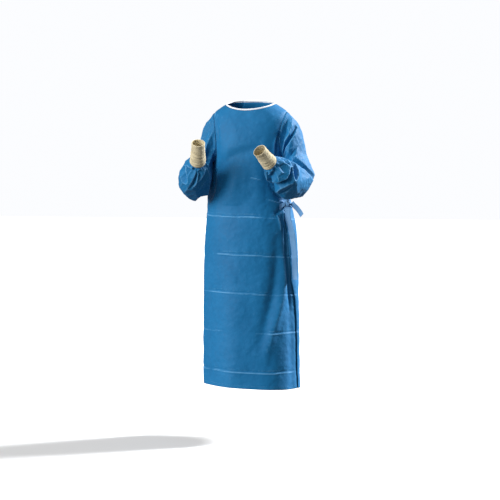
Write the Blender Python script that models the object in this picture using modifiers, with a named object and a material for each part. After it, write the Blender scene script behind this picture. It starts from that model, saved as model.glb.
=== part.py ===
"""A wraparound surgical gown in the shape it has when it is worn, hollow, one object for each sewn piece.

Metres, +Z up, the front faces -Y and +X is the wearer's left. The origin is the middle of the neck
opening, level with the shoulders at the neck. Angles round the body start at the middle of the front
and grow towards the left side: 90 is the left side, 180 the middle of the back, 270 the right side.
"""

import math
from collections import namedtuple

import bpy
import numpy as np

# Cloth, seams and laps
CLOTH_THICKNESS = 0.0016
KNIT_THICKNESS = 0.0022
BINDING_THICKNESS = 0.0024
SEAM_GAP = 0.0004
SLEEVE_SEAM_GAP = 0.0019
BINDING_GAP = 0.0010
CUFF_SEAM_GAP = 0.0007
WRAP_LIFT = 0.0055

# Neck, hem and armholes
BINDING_WIDTH = 0.009
ARMHOLE_HALF_ANGLE = 33.0
ARMHOLE_STEPS = 10
PANEL_STEP = 10.0

# Packing creases: level folds, pressed in while the gown was folded flat
CREASE_HEIGHTS = (-0.489, -0.653, -0.817, -0.983, -1.154)
CREASE_DEPTH = 0.0016
CREASE_REACH = 0.010

BodyRow = namedtuple("BodyRow", "height half_width front_depth back_depth front_drop back_drop shift")
BODY_ROWS = (
    BodyRow(-1.230, 0.211, 0.161, 0.153, 0.000, 0.000, 0.005),
    BodyRow(-1.000, 0.210, 0.160, 0.152, 0.000, 0.000, 0.005),
    BodyRow(-0.780, 0.207, 0.157, 0.150, 0.000, 0.000, 0.004),
    BodyRow(-0.610, 0.202, 0.152, 0.146, 0.000, 0.000, 0.002),
    BodyRow(-0.520, 0.195, 0.146, 0.140, 0.000, 0.000, -0.001),
    BodyRow(-0.445, 0.182, 0.135, 0.129, 0.000, 0.000, -0.008),
    BodyRow(-0.360, 0.162, 0.130, 0.125, 0.000, 0.000, -0.004),
    BodyRow(-0.250, 0.151, 0.127, 0.124, 0.000, 0.000, 0.000),
    BodyRow(-0.175, 0.156, 0.121, 0.123, 0.012, 0.000, 0.000),
    BodyRow(-0.108, 0.167, 0.111, 0.116, 0.028, 0.006, 0.000),
    BodyRow(-0.060, 0.171, 0.100, 0.105, 0.038, 0.012, 0.000),
    BodyRow(-0.034, 0.161, 0.091, 0.095, 0.040, 0.012, 0.000),
    BodyRow(-0.016, 0.138, 0.082, 0.082, 0.036, 0.002, 0.000),
    BodyRow(0.000, 0.111, 0.073, 0.069, 0.029, -0.012, 0.000),
)
UNDERARM_LEVEL = 7.0
TIP_LEVEL = 11.0
NECK_LEVEL = 13.0
BODY_SQUARENESS = 2.3
DROP_POWER = 1.6
HEM_TILT = 0.036

# Soft upright folds in the skirt and bodice, a row for each: place, width, depth, top and bottom
BodyFold = namedtuple("BodyFold", "angle half_angle depth top bottom")
BODY_FOLDS = (
    BodyFold(37.0, 9.0, -0.008, -0.74, -1.40),
    BodyFold(50.0, 8.0, 0.006, -0.60, -1.40),
    BodyFold(60.0, 8.0, -0.005, -0.46, -0.80),
    BodyFold(-8.0, 14.0, 0.006, -0.62, -1.40),
    BodyFold(-42.0, 10.0, -0.008, -0.66, -1.40),
    BodyFold(-70.0, 9.0, 0.007, -0.54, -1.40),
    BodyFold(112.0, 10.0, -0.010, -0.50, -1.40),
    BodyFold(148.0, 11.0, 0.009, -0.46, -1.40),
    BodyFold(182.0, 10.0, -0.011, -0.52, -1.40),
    BodyFold(218.0, 12.0, 0.009, -0.48, -1.40),
    BodyFold(248.0, 9.0, -0.008, -0.55, -1.40),
    BodyFold(42.0, 10.0, -0.007, -0.16, -0.34),
    BodyFold(-46.0, 10.0, -0.007, -0.15, -0.36),
    BodyFold(18.0, 9.0, 0.004, -0.28, -0.44),
)
FOLD_FADE = 0.07

# The free edges of the wrap, a row for each height: where the outer back and the inner back end
WrapEdge = namedtuple("WrapEdge", "level outer inner")
WRAP_EDGES = (
    WrapEdge(0.0, 81.0, 214.0),
    WrapEdge(0.8, 77.0, 214.0),
    WrapEdge(1.4, 75.0, 214.0),
    WrapEdge(1.7, 72.0, 213.0),
    WrapEdge(2.1, 64.0, 213.0),
    WrapEdge(3.1, 61.0, 213.0),
    WrapEdge(4.2, 62.0, 213.0),
    WrapEdge(4.8, 67.0, 213.0),
    WrapEdge(5.2, 78.0, 213.0),
    WrapEdge(5.8, 86.0, 212.0),
    WrapEdge(6.4, 100.0, 211.0),
    WrapEdge(7.0, 117.0, 210.0),
    WrapEdge(8.0, 135.0, 208.0),
    WrapEdge(9.8, 149.0, 205.0),
    WrapEdge(13.0, 164.0, 200.0),
)
WRAP_BLEND = (226.0, 262.0)

# Arms: the middle of the sleeve where it leaves the armhole, at the bend's corner, and at the cuff seam
Arm = namedtuple("Arm", "side start corner wrist hand")
LEFT_ARM = Arm(
    side=1,
    start=(0.190, -0.006, -0.205),
    corner=(0.246, -0.052, -0.384),
    wrist=(0.139, -0.250, -0.258),
    hand=(0.108, -0.313, -0.206),
)
RIGHT_ARM = Arm(
    side=-1,
    start=(-0.180, -0.006, -0.205),
    corner=(-0.252, -0.060, -0.396),
    wrist=(-0.174, -0.255, -0.251),
    hand=(-0.158, -0.303, -0.173),
)

# Sleeve rings: 1 is below the armhole, 1 to 2 the bend, 3 the cuff seam
SleeveRow = namedtuple("SleeveRow", "stage across inside outside")
SLEEVE_ROWS = (
    SleeveRow(1.00, 0.044, 0.068, 0.062),
    SleeveRow(1.25, 0.052, 0.070, 0.066),
    SleeveRow(1.50, 0.058, 0.070, 0.070),
    SleeveRow(1.75, 0.063, 0.070, 0.070),
    SleeveRow(2.00, 0.066, 0.068, 0.074),
    SleeveRow(2.30, 0.065, 0.062, 0.077),
    SleeveRow(2.60, 0.058, 0.052, 0.067),
    SleeveRow(2.82, 0.045, 0.042, 0.050),
    SleeveRow(2.94, 0.037, 0.036, 0.039),
    SleeveRow(3.00, 0.0335, 0.0335, 0.0335),
)
SLEEVE_STAGES = (1.0, 1.2, 1.4, 1.6, 1.8, 2.0, 2.25, 2.5, 2.68, 2.82, 2.93, 3.0)
ARMHOLE_STAGES = (0.0, 0.16, 0.36, 0.58, 0.80)
BEND_RADIUS = 0.079
SLEEVE_COLUMNS = 40
GATHERS = 14
GATHER_DEPTH = 0.0042
GATHER_STAGES = (2.2, 2.5, 2.82, 2.99)
GATHER_SHARES = (0.0, 0.45, 1.0, 0.0)

# Sleeve folds, a row for each: place along the sleeve, place round it, reach each way, depth and slant
SleeveFold = namedtuple("SleeveFold", "stage angle reach half_angle depth slant")
LEFT_FOLDS = (
    SleeveFold(0.55, 118.0, 0.55, 13.0, -0.011, 22.0),
    SleeveFold(0.80, 158.0, 0.50, 13.0, 0.006, 14.0),
    SleeveFold(0.70, 78.0, 0.40, 12.0, -0.007, 10.0),
    SleeveFold(0.60, 235.0, 0.55, 15.0, -0.009, -20.0),
    SleeveFold(1.50, 205.0, 0.35, 16.0, 0.009, 0.0),
    SleeveFold(1.75, 150.0, 0.30, 14.0, -0.008, -25.0),
    SleeveFold(1.95, 250.0, 0.30, 15.0, -0.008, 25.0),
    SleeveFold(2.25, 190.0, 0.35, 15.0, 0.008, 20.0),
    SleeveFold(2.30, 310.0, 0.35, 16.0, -0.007, -20.0),
)
RIGHT_FOLDS = (
    SleeveFold(0.60, 122.0, 0.55, 13.0, -0.008, 20.0),
    SleeveFold(0.75, 80.0, 0.45, 12.0, -0.006, 10.0),
    SleeveFold(0.60, 240.0, 0.55, 15.0, -0.009, -20.0),
    SleeveFold(1.45, 215.0, 0.35, 16.0, 0.009, 0.0),
    SleeveFold(1.70, 160.0, 0.30, 14.0, -0.008, -25.0),
    SleeveFold(2.00, 235.0, 0.30, 15.0, -0.007, 25.0),
    SleeveFold(2.20, 130.0, 0.35, 15.0, -0.007, 20.0),
    SleeveFold(2.35, 300.0, 0.35, 16.0, 0.007, -20.0),
)

# Knitted cuffs
CUFF_BASE_RADIUS = 0.0325
CUFF_END_RADIUS = 0.0275
CUFF_ROWS = 13
CUFF_COLUMNS = 18
CUFF_WRINKLES = 4.0
CUFF_WRINKLE_DEPTH = 0.0011

# Waist ties, tied at the wearer's left
TIE_WIDTH = 0.024
KNOT_ANGLE = 69.0
KNOT_HEIGHT = -0.431
KNOT_LIFT = 0.017
KNOT_CAGE = (0.0230, 0.0324, 0.0378)

# The ties' middle lines: angle round the body, height, lift off the cloth, and twist from lying flat on it
TiePoint = namedtuple("TiePoint", "angle height lift twist")
FRONT_TIE = (
    TiePoint(55.0, -0.446, 0.0046, 0.0),
    TiePoint(58.5, -0.443, 0.0056, 0.0),
    TiePoint(61.0, -0.439, 0.0090, 0.0),
    TiePoint(63.8, -0.435, 0.0140, 0.0),
)
FLAP_TIE = (
    TiePoint(92.0, -0.441, 0.0104, 0.0),
    TiePoint(86.0, -0.440, 0.0108, 0.0),
    TiePoint(80.0, -0.437, 0.0125, 0.0),
    TiePoint(73.9, -0.434, 0.0150, 0.0),
)
LONG_END = (
    TiePoint(68.0, -0.447, 0.0150, 0.0),
    TiePoint(67.0, -0.480, 0.0140, -18.0),
    TiePoint(66.0, -0.530, 0.0140, -26.0),
    TiePoint(65.5, -0.590, 0.0150, -20.0),
    TiePoint(66.0, -0.650, 0.0150, -8.0),
    TiePoint(67.0, -0.700, 0.0140, 4.0),
    TiePoint(68.0, -0.735, 0.0130, 10.0),
    TiePoint(68.5, -0.752, 0.0150, 12.0),
)

# The short end stands out from the knot: where it starts from the knot's middle, and its steps
SHORT_END_START = (0.0172, 0.003, -0.001)
SHORT_END_STEPS = (
    (0.008, 0.000, -0.009),
    (0.014, 0.003, -0.014),
    (0.014, 0.002, -0.018),
    (0.008, 0.000, -0.014),
)
SHORT_END_ACROSS = (0.55, -0.35, 0.55)

# The tab that closes the neck at the back
TAB_ANGLES = (150.0, 186.0)
TAB_LEVELS = (11.35, 12.55)
TAB_LIFT = 0.0026

CLOTH_BLUE = (0.055, 0.235, 0.470)
TIE_BLUE = (0.100, 0.300, 0.540)
BINDING_WHITE = (0.800, 0.830, 0.880)
KNIT_CREAM = (0.620, 0.560, 0.400)


def clear_scene():
    for old in list(bpy.data.objects):
        bpy.data.objects.remove(old)


def smooth_table(rows, place, at):
    """The columns of a table of rows at a place between them, on a curve through the rows."""
    table = np.array(rows, float)
    keys = np.array(place, float)
    at = float(np.clip(at, keys[0], keys[-1]))
    low = int(np.clip(np.searchsorted(keys, at) - 1, 0, len(keys) - 2))
    before, after = max(low - 1, 0), min(low + 2, len(keys) - 1)
    span = keys[low + 1] - keys[low]
    t = (at - keys[low]) / span
    slope_low = (table[low + 1] - table[before]) / (keys[low + 1] - keys[before]) * span
    slope_high = (table[after] - table[low]) / (keys[after] - keys[low]) * span
    return (
        (2 * t**3 - 3 * t**2 + 1) * table[low]
        + (t**3 - 2 * t**2 + t) * slope_low
        + (3 * t**2 - 2 * t**3) * table[low + 1]
        + (t**3 - t**2) * slope_high
    )


def body_row(level):
    return BodyRow(*smooth_table(BODY_ROWS, range(len(BODY_ROWS)), level))


def level_at(height):
    """The level of the body's table that has this height at the side."""
    levels = np.linspace(0, NECK_LEVEL, 600)
    heights = [body_row(level).height for level in levels]
    return float(np.interp(height, heights, levels))


def fade(value, low, high):
    t = np.clip((value - low) / (high - low), 0.0, 1.0)
    return t * t * (3 - 2 * t)


def angle_apart(a, b):
    return (a - b + 180.0) % 360.0 - 180.0


def fold_relief(angle, height):
    relief = 0.0
    for fold in BODY_FOLDS:
        reach = fade(height, fold.bottom, fold.bottom + FOLD_FADE)
        reach *= 1 - fade(height, fold.top - FOLD_FADE, fold.top)
        relief += fold.depth * reach * math.exp(-((angle_apart(angle, fold.angle) / fold.half_angle) ** 2))
    return relief


def crease_relief(height):
    return sum(-CREASE_DEPTH * max(0.0, 1 - abs(height - crease) / CREASE_REACH) for crease in CREASE_HEIGHTS)


def body_base(level, angle):
    row = body_row(level)
    turn = math.radians(angle)
    side, front = math.sin(turn), math.cos(turn)
    power = 2.0 / BODY_SQUARENESS
    depth, drop = (row.front_depth, row.front_drop) if front > 0 else (row.back_depth, row.back_drop)
    x = row.shift + row.half_width * math.copysign(abs(side) ** power, side)
    y = -depth * math.copysign(abs(front) ** power, front)
    tilt = HEM_TILT * x * (1 - fade(level, 0.0, 4.0))
    return np.array((x, y, row.height - drop * abs(front) ** DROP_POWER - tilt))


def body_normal(level, angle):
    up = body_base(min(level + 0.02, NECK_LEVEL), angle) - body_base(max(level - 0.02, 0.0), angle)
    round_body = body_base(level, angle + 1.0) - body_base(level, angle - 1.0)
    outward = np.cross(round_body, up)
    return outward / np.linalg.norm(outward)


def body_point(level, angle, lift=0.0):
    """A point of the gown's body, with its folds, moved out from the surface by lift."""
    height = body_row(level).height
    relief = fold_relief(angle, height) + crease_relief(height)
    return body_base(level, angle) + body_normal(level, angle) * (relief + lift)


def panel_levels(creased):
    """The levels of a panel's rows: skirt and bodice, the armhole's own steps, and the shoulder."""
    plain = [BODY_ROWS[0].height, -0.570, -0.445, -0.405, -0.360, -0.305]
    heights = set(plain)
    for crease in CREASE_HEIGHTS:
        heights |= {crease - CREASE_REACH, crease, crease + CREASE_REACH} if creased else {crease}
    levels = [level_at(height) for height in sorted(heights)]
    for step in range(ARMHOLE_STEPS + 1):
        share = (1 - math.cos(math.pi * step / ARMHOLE_STEPS)) / 2
        levels.append(UNDERARM_LEVEL + (TIP_LEVEL - UNDERARM_LEVEL) * share)
    return levels + [TIP_LEVEL + 0.6, TIP_LEVEL + 1.3, NECK_LEVEL]


def armhole_angle(level):
    """Half the angle that the armhole takes out of the panels at this level."""
    if not UNDERARM_LEVEL < level < TIP_LEVEL:
        return 0.0
    share = (level - UNDERARM_LEVEL) / (TIP_LEVEL - UNDERARM_LEVEL)
    return ARMHOLE_HALF_ANGLE * math.sqrt(1 - (2 * share - 1) ** 2)


def seam_angle(level):
    """Half the gap of a side or shoulder seam, as an angle."""
    row = body_row(level)
    return math.degrees(SEAM_GAP / 2 / ((row.front_depth + row.back_depth) / 2))


def wrap_edge(level, column):
    keys = [row.level for row in WRAP_EDGES]
    return float(np.interp(level, keys, [getattr(row, column) for row in WRAP_EDGES]))


def panel_grid(levels, low_edge, high_edge, lift):
    """A panel's points: at the hem its columns stand at the same even angles as its neighbours'."""
    low, high = low_edge(0.0), high_edge(0.0)
    even = np.arange(math.ceil(low / PANEL_STEP + 0.4), math.floor(high / PANEL_STEP - 0.4) + 1) * PANEL_STEP
    shares = (np.concatenate([[low], even, [high]]) - low) / (high - low)
    grid = []
    for level in levels:
        angles = low_edge(level) + (high_edge(level) - low_edge(level)) * shares
        grid.append([body_point(level, angle, lift(angle)) for angle in angles])
    return np.array(grid)


def left_of_front(level):
    return 90.0 - max(armhole_angle(level), seam_angle(level))


def right_of_front(level):
    return -left_of_front(level)


def left_of_back(level):
    return 180.0 - left_of_front(level)


def right_of_back(level):
    return 180.0 + left_of_front(level)


def end_of_inner_back(level):
    return wrap_edge(level, "inner")


def end_of_outer_back(level):
    return wrap_edge(level, "outer")


def no_lift(_):
    return 0.0


def wrap_lift(angle):
    return WRAP_LIFT * (1 - fade(angle, *WRAP_BLEND))


def make_material(name, colour, roughness):
    material = bpy.data.materials.new(name)
    material.use_nodes = True
    shader = material.node_tree.nodes["Principled BSDF"]
    shader.inputs["Base Color"].default_value = (*colour, 1.0)
    shader.inputs["Roughness"].default_value = roughness
    shader.inputs["Metallic"].default_value = 0.0
    material.diffuse_color = (*colour, 1.0)
    return material


def add_mesh_object(name, mesh, material, collection):
    mesh.materials.append(material)
    mesh.shade_smooth()
    piece = bpy.data.objects.new(name, mesh)
    collection.objects.link(piece)
    return piece


def add_cloth(name, grid, thickness, material, collection, tube=False):
    """A wall of cloth: a grid of points as an open surface, or a tube, with Solidify on it."""
    rows, columns = grid.shape[:2]
    faces = []
    for row in range(rows - 1):
        for column in range(columns if tube else columns - 1):
            after = (column + 1) % columns
            here, above = row * columns, (row + 1) * columns
            faces.append((here + column, here + after, above + after, above + column))
    mesh = bpy.data.meshes.new(name)
    mesh.from_pydata([tuple(point) for point in grid.reshape(-1, 3)], [], faces)
    piece = add_mesh_object(name, mesh, material, collection)
    wall = piece.modifiers.new("Cloth", "SOLIDIFY")
    wall.thickness = thickness
    wall.offset = 0.0
    return piece


def armhole_ring(side):
    """The armhole's edge, from the underarm up the front to the shoulder and down the back."""
    corners = []
    for step in range(2 * ARMHOLE_STEPS):
        turn = math.pi * step / ARMHOLE_STEPS
        level = UNDERARM_LEVEL + (TIP_LEVEL - UNDERARM_LEVEL) * (1 - math.cos(turn)) / 2
        angle = side * (90.0 - ARMHOLE_HALF_ANGLE * math.sin(turn)) % 360.0
        corners.append(body_point(level, angle, wrap_lift(angle) if 180.0 < angle < 270.0 else 0.0))
    ring = []
    for step, corner in enumerate(corners):
        after = corners[(step + 1) % len(corners)]
        ring += [corner, (corner + after) / 2]
    return np.array(ring)


def unit(vector):
    return vector / np.linalg.norm(vector)


def arm_frame(arm):
    """The arm's bend: its centre, the direction of each half, and the turn between them."""
    start, corner, wrist = (np.array(point) for point in (arm.start, arm.corner, arm.wrist))
    down, forward = unit(corner - start), unit(wrist - corner)
    turn = math.acos(float(down @ forward))
    inside = unit(forward - down)
    centre = corner + inside * BEND_RADIUS / math.cos(turn / 2)
    reach = BEND_RADIUS * math.tan(turn / 2)
    return down, forward, turn, centre, corner - down * reach, corner + forward * reach


def sleeve_section(arm, stage):
    """The middle of the sleeve at a stage, its direction there and the way to the inside of the bend."""
    down, forward, turn, centre, bend_start, bend_end = arm_frame(arm)
    inward = unit(forward - down * float(down @ forward))
    share = float(np.clip(stage - 1.0, 0.0, 1.0)) * turn
    along = down * math.cos(share) + inward * math.sin(share)
    inside = inward * math.cos(share) - down * math.sin(share)
    middle = centre - inside * BEND_RADIUS
    if stage > 2.0:
        middle = bend_end + (np.array(arm.wrist) - bend_end) * (stage - 2.0)
    return middle, along, inside


def sleeve_relief(folds, stage, angle):
    relief = 0.0
    for fold in folds:
        along = (stage - fold.stage) / fold.reach
        around = angle_apart(angle, fold.angle + fold.slant * along) / fold.half_angle
        relief += fold.depth * math.exp(-(along**2) * 2.0 - around**2)
    gathered = np.interp(stage, GATHER_STAGES, GATHER_SHARES)
    uneven = 0.75 + 0.25 * math.sin(3 * math.radians(angle) + 1.0)
    return relief + GATHER_DEPTH * gathered * uneven * math.cos(GATHERS * math.radians(angle))


def sleeve_ring(arm, folds, stage):
    middle, along, inside = sleeve_section(arm, stage)
    inner = np.cross(along, inside) * arm.side
    keys = [row.stage for row in SLEEVE_ROWS]
    size = SleeveRow(*smooth_table(SLEEVE_ROWS, keys, stage))
    ring = []
    for column in range(SLEEVE_COLUMNS):
        angle = 360.0 * column / SLEEVE_COLUMNS
        turn = math.radians(angle)
        deep = size.inside if math.sin(turn) > 0 else size.outside
        spoke = inner * math.cos(turn) * size.across + inside * math.sin(turn) * deep
        ring.append(middle + spoke + unit(spoke) * sleeve_relief(folds, stage, angle))
    return np.array(ring)


def armhole_way_out(ring, arm):
    """The way each point of the cloth leaves the armhole: out from the body and down the shoulder."""
    middle = ring.mean(axis=0)
    ways = []
    for point in ring:
        high = (point[2] - middle[2]) / (ring[:, 2].max() - middle[2])
        ways.append(unit(np.array((arm.side * 1.0, 0.0, -0.35 - 0.20 * high))))
    return np.array(ways)


def make_sleeve(name, arm, folds, material, collection):
    armhole = armhole_ring(arm.side)
    first = sleeve_ring(arm, folds, 1.0)
    ways = armhole_way_out(armhole, arm)
    along = sleeve_section(arm, 1.0)[1]
    grid = []
    for t in ARMHOLE_STAGES:
        ring = []
        for column in range(SLEEVE_COLUMNS):
            start = armhole[column] + ways[column] * SLEEVE_SEAM_GAP
            reach = np.linalg.norm(first[column] - start)
            point = (
                (2 * t**3 - 3 * t**2 + 1) * start
                + (t**3 - 2 * t**2 + t) * ways[column] * reach
                + (3 * t**2 - 2 * t**3) * first[column]
                + (t**3 - t**2) * along * reach
            )
            angle = 360.0 * column / SLEEVE_COLUMNS
            spoke = unit(point - (armhole.mean(axis=0) * (1 - t) + first.mean(axis=0) * t))
            ring.append(point + spoke * sleeve_relief(folds, t, angle) * fade(t, 0.0, 0.25))
        grid.append(ring)
    grid += [sleeve_ring(arm, folds, stage) for stage in SLEEVE_STAGES]
    grid = np.array(grid)
    if arm.side > 0:
        grid = grid[:, ::-1]
    return add_cloth(name, grid, CLOTH_THICKNESS, material, collection, tube=True)


def make_cuff(name, arm, material, collection):
    """A knitted tube, narrower towards the hand, with rings of soft wrinkles."""
    wrist, hand = np.array(arm.wrist), np.array(arm.hand)
    sleeve_way = sleeve_section(arm, 3.0)[1]
    length = np.linalg.norm(hand - wrist)
    grid = []
    for row in range(CUFF_ROWS):
        t = row / (CUFF_ROWS - 1)
        middle = wrist + sleeve_way * CUFF_SEAM_GAP
        middle = (
            (2 * t**3 - 3 * t**2 + 1) * middle
            + (t**3 - 2 * t**2 + t) * sleeve_way * length * 0.7
            + (3 * t**2 - 2 * t**3) * hand
            + (t**3 - t**2) * unit(hand - wrist) * length
        )
        along = unit(sleeve_way * (1 - fade(t, 0.0, 0.5)) + unit(hand - wrist) * fade(t, 0.0, 0.5))
        side_way = unit(np.cross(along, (0.0, 0.0, 1.0)))
        up_way = np.cross(side_way, along)
        radius = CUFF_BASE_RADIUS + (CUFF_END_RADIUS - CUFF_BASE_RADIUS) * fade(t, 0.0, 0.8)
        ring = []
        for column in range(CUFF_COLUMNS):
            turn = 2 * math.pi * column / CUFF_COLUMNS
            wrinkle = math.sin(2 * math.pi * CUFF_WRINKLES * t + 1.5 * math.sin(turn))
            out = radius + CUFF_WRINKLE_DEPTH * wrinkle * math.sin(math.pi * t)
            ring.append(middle + (side_way * math.cos(turn) + up_way * math.sin(turn)) * out)
        grid.append(ring)
    return add_cloth(name, np.array(grid), KNIT_THICKNESS, material, collection, tube=True)


def make_binding(material, collection):
    """One tape round the neck, from the end of the inner back to the end of the outer back."""
    first = wrap_edge(NECK_LEVEL, "inner")
    last = wrap_edge(NECK_LEVEL, "outer") - 360.0
    angles = np.linspace(first, last, 46)
    grid = []
    for height in (BINDING_GAP, BINDING_WIDTH / 2, BINDING_WIDTH):
        row = []
        for angle in angles:
            lift = WRAP_LIFT * (1 - fade(angle + 360.0, *WRAP_BLEND))
            edge = body_point(NECK_LEVEL, angle, lift)
            upward = unit(edge - body_point(NECK_LEVEL - 0.1, angle, lift))
            row.append(edge + upward * height)
        grid.append(row[::-1])
    add_cloth("neck_binding", np.array(grid), BINDING_THICKNESS, material, collection)


def add_ribbon(name, middles, widths, material, collection):
    """A flat tie: the middle line's points, and the half width at each as a vector."""
    grid = np.array([np.array(middles) - np.array(widths), np.array(middles) + np.array(widths)])
    return add_cloth(name, grid, CLOTH_THICKNESS, material, collection)


def knot_place():
    return body_point(level_at(KNOT_HEIGHT), KNOT_ANGLE, KNOT_LIFT)


def make_knot(material, collection):
    bpy.ops.mesh.primitive_cube_add(size=1.0)
    knot = bpy.context.active_object
    knot.name = knot.data.name = "waist_knot"
    knot.data.transform(knot.matrix_world)
    middle = knot_place()
    outward = body_normal(level_at(KNOT_HEIGHT), KNOT_ANGLE)
    sideways = unit(np.cross((0.0, 0.0, 1.0), outward))
    upward = np.cross(outward, sideways)
    for vertex in knot.data.vertices:
        place = np.array(vertex.co) * KNOT_CAGE
        vertex.co = middle + outward * place[0] + sideways * place[1] + upward * place[2]
    knot.location = (0.0, 0.0, 0.0)
    rounded = knot.modifiers.new("Rounded", "SUBSURF")
    rounded.levels = rounded.render_levels = 2
    knot.data.materials.append(material)
    knot.data.shade_smooth()
    for old in list(knot.users_collection):
        old.objects.unlink(knot)
    collection.objects.link(knot)


def make_ties(material, collection):
    for name, points in (("waist_tie_front", FRONT_TIE), ("waist_tie_flap", FLAP_TIE)):
        middles = [body_point(level_at(tie.height), tie.angle, tie.lift) for tie in points]
        spread = [(1 - 0.35 * step / (len(points) - 1)) * TIE_WIDTH / 2 for step in range(len(points))]
        widths = [np.array((0.0, 0.0, half)) for half in spread]
        add_ribbon(name, middles, widths, material, collection)
    middles, widths = [], []
    for tie in LONG_END:
        level = level_at(tie.height)
        outward = body_normal(level, tie.angle)
        sideways = unit(np.cross((0.0, 0.0, 1.0), outward))
        twist = math.radians(tie.twist)
        middles.append(body_point(level, tie.angle, tie.lift))
        widths.append((sideways * math.cos(twist) + outward * math.sin(twist)) * TIE_WIDTH / 2)
    add_ribbon("tie_end_long", middles, widths, material, collection)
    place = knot_place() + np.array(SHORT_END_START)
    middles, widths = [place], []
    for step in SHORT_END_STEPS:
        middles.append(middles[-1] + np.array(step))
    for _ in middles:
        widths.append(unit(np.array(SHORT_END_ACROSS)) * TIE_WIDTH / 2)
    add_ribbon("tie_end_short", middles, widths, material, collection)


def make_tab(material, collection):
    grid = []
    for level in np.linspace(*TAB_LEVELS, 3):
        row = []
        for angle in np.linspace(*TAB_ANGLES, 9):
            on_outer = fade(angle, wrap_edge(level, "outer") - 9.0, wrap_edge(level, "outer") - 2.0)
            row.append(body_point(level, angle, TAB_LIFT + WRAP_LIFT * on_outer))
        grid.append(row)
    add_cloth("neck_tab", np.array(grid), CLOTH_THICKNESS, material, collection)


def make_gown():
    gown = bpy.data.collections.new("surgical_gown")
    bpy.context.scene.collection.children.link(gown)
    cloth = make_material("gown_cloth", CLOTH_BLUE, 0.80)
    ties = make_material("tie_cloth", TIE_BLUE, 0.80)
    tape = make_material("binding_tape", BINDING_WHITE, 0.75)
    knit = make_material("cuff_knit", KNIT_CREAM, 0.90)
    creased, plain = panel_levels(True), panel_levels(False)

    front = panel_grid(creased, right_of_front, left_of_front, no_lift)
    add_cloth("front_panel", front, CLOTH_THICKNESS, cloth, gown)
    inner = panel_grid(plain, left_of_back, end_of_inner_back, no_lift)
    add_cloth("back_panel_inner", inner, CLOTH_THICKNESS, cloth, gown)
    outer = panel_grid(creased, end_of_outer_back, right_of_back, wrap_lift)
    add_cloth("back_panel_outer", outer, CLOTH_THICKNESS, cloth, gown)

    make_sleeve("sleeve_left", LEFT_ARM, LEFT_FOLDS, cloth, gown)
    make_sleeve("sleeve_right", RIGHT_ARM, RIGHT_FOLDS, cloth, gown)
    make_cuff("cuff_left", LEFT_ARM, knit, gown)
    make_cuff("cuff_right", RIGHT_ARM, knit, gown)
    make_binding(tape, gown)
    make_tab(ties, gown)
    make_knot(ties, gown)
    make_ties(ties, gown)


clear_scene()
make_gown()
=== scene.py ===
"""The looks of a wraparound surgical gown in the shape that it has when it is worn, hollow.

Metres, +Z up, the front faces -Y and +X is the wearer's left. Angles round the body start at the middle
of the front: 90 is the left side, 180 the middle of the back, 270 (or -90) the right side.
"""

import math

import bpy
import numpy as np
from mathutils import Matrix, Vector, geometry, noise


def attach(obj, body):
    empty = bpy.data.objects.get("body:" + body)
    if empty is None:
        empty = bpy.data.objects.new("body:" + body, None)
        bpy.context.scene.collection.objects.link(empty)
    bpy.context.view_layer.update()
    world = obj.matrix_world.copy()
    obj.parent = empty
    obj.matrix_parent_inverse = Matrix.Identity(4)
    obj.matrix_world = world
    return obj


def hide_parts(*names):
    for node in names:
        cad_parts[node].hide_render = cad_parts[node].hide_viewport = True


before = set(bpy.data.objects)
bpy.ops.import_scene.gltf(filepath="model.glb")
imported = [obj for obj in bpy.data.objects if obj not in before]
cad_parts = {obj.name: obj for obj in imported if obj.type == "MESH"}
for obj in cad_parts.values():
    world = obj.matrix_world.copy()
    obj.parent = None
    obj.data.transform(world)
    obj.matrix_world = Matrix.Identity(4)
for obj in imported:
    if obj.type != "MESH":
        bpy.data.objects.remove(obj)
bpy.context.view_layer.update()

# Camera
# The photograph was taken from a little to the wearer's left and slightly above the chest, from far
# enough away that the gown hardly narrows towards the hem.

lens_data = bpy.data.cameras.new("camera")
lens_data.lens = 106.36
lens_data.sensor_width = 36.0
lens_data.clip_end = 60.0
camera = bpy.data.objects.new("camera", lens_data)
camera.location = (1.45589, -6.32572, -0.29782)
camera.rotation_euler = Vector((-0.22464, 0.97303, -0.05234)).to_track_quat("-Z", "Y").to_euler()
bpy.context.scene.collection.objects.link(camera)
bpy.context.scene.camera = camera

# Front panel
# One piece of blue spunbonded non-woven cloth from side seam to side seam. It hangs from the shoulders,
# is drawn in at the waist by the ties, and still shows the creases of the way it was folded in its pack.

BODY_ROWS = (
    # height, half width, front depth, back depth, front drop, back drop, shift
    (-1.230, 0.211, 0.161, 0.153, 0.000, 0.000, 0.005),
    (-1.000, 0.210, 0.160, 0.152, 0.000, 0.000, 0.005),
    (-0.780, 0.207, 0.157, 0.150, 0.000, 0.000, 0.004),
    (-0.610, 0.202, 0.152, 0.146, 0.000, 0.000, 0.002),
    (-0.520, 0.195, 0.146, 0.140, 0.000, 0.000, -0.001),
    (-0.445, 0.182, 0.135, 0.129, 0.000, 0.000, -0.008),
    (-0.360, 0.162, 0.130, 0.125, 0.000, 0.000, -0.004),
    (-0.250, 0.151, 0.127, 0.124, 0.000, 0.000, 0.000),
    (-0.175, 0.156, 0.121, 0.123, 0.012, 0.000, 0.000),
    (-0.108, 0.167, 0.111, 0.116, 0.028, 0.006, 0.000),
    (-0.060, 0.171, 0.100, 0.105, 0.038, 0.012, 0.000),
    (-0.034, 0.161, 0.091, 0.095, 0.040, 0.012, 0.000),
    (-0.016, 0.138, 0.082, 0.082, 0.036, 0.002, 0.000),
    (0.000, 0.111, 0.073, 0.069, 0.029, -0.012, 0.000),
)
UNDERARM, SHOULDER_TIP, NECK = 7.0, 11.0, 13.0
WALL = 0.0008


def fade(value, low, high):
    t = np.clip((value - low) / (high - low), 0.0, 1.0)
    return t * t * (3 - 2 * t)


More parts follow.
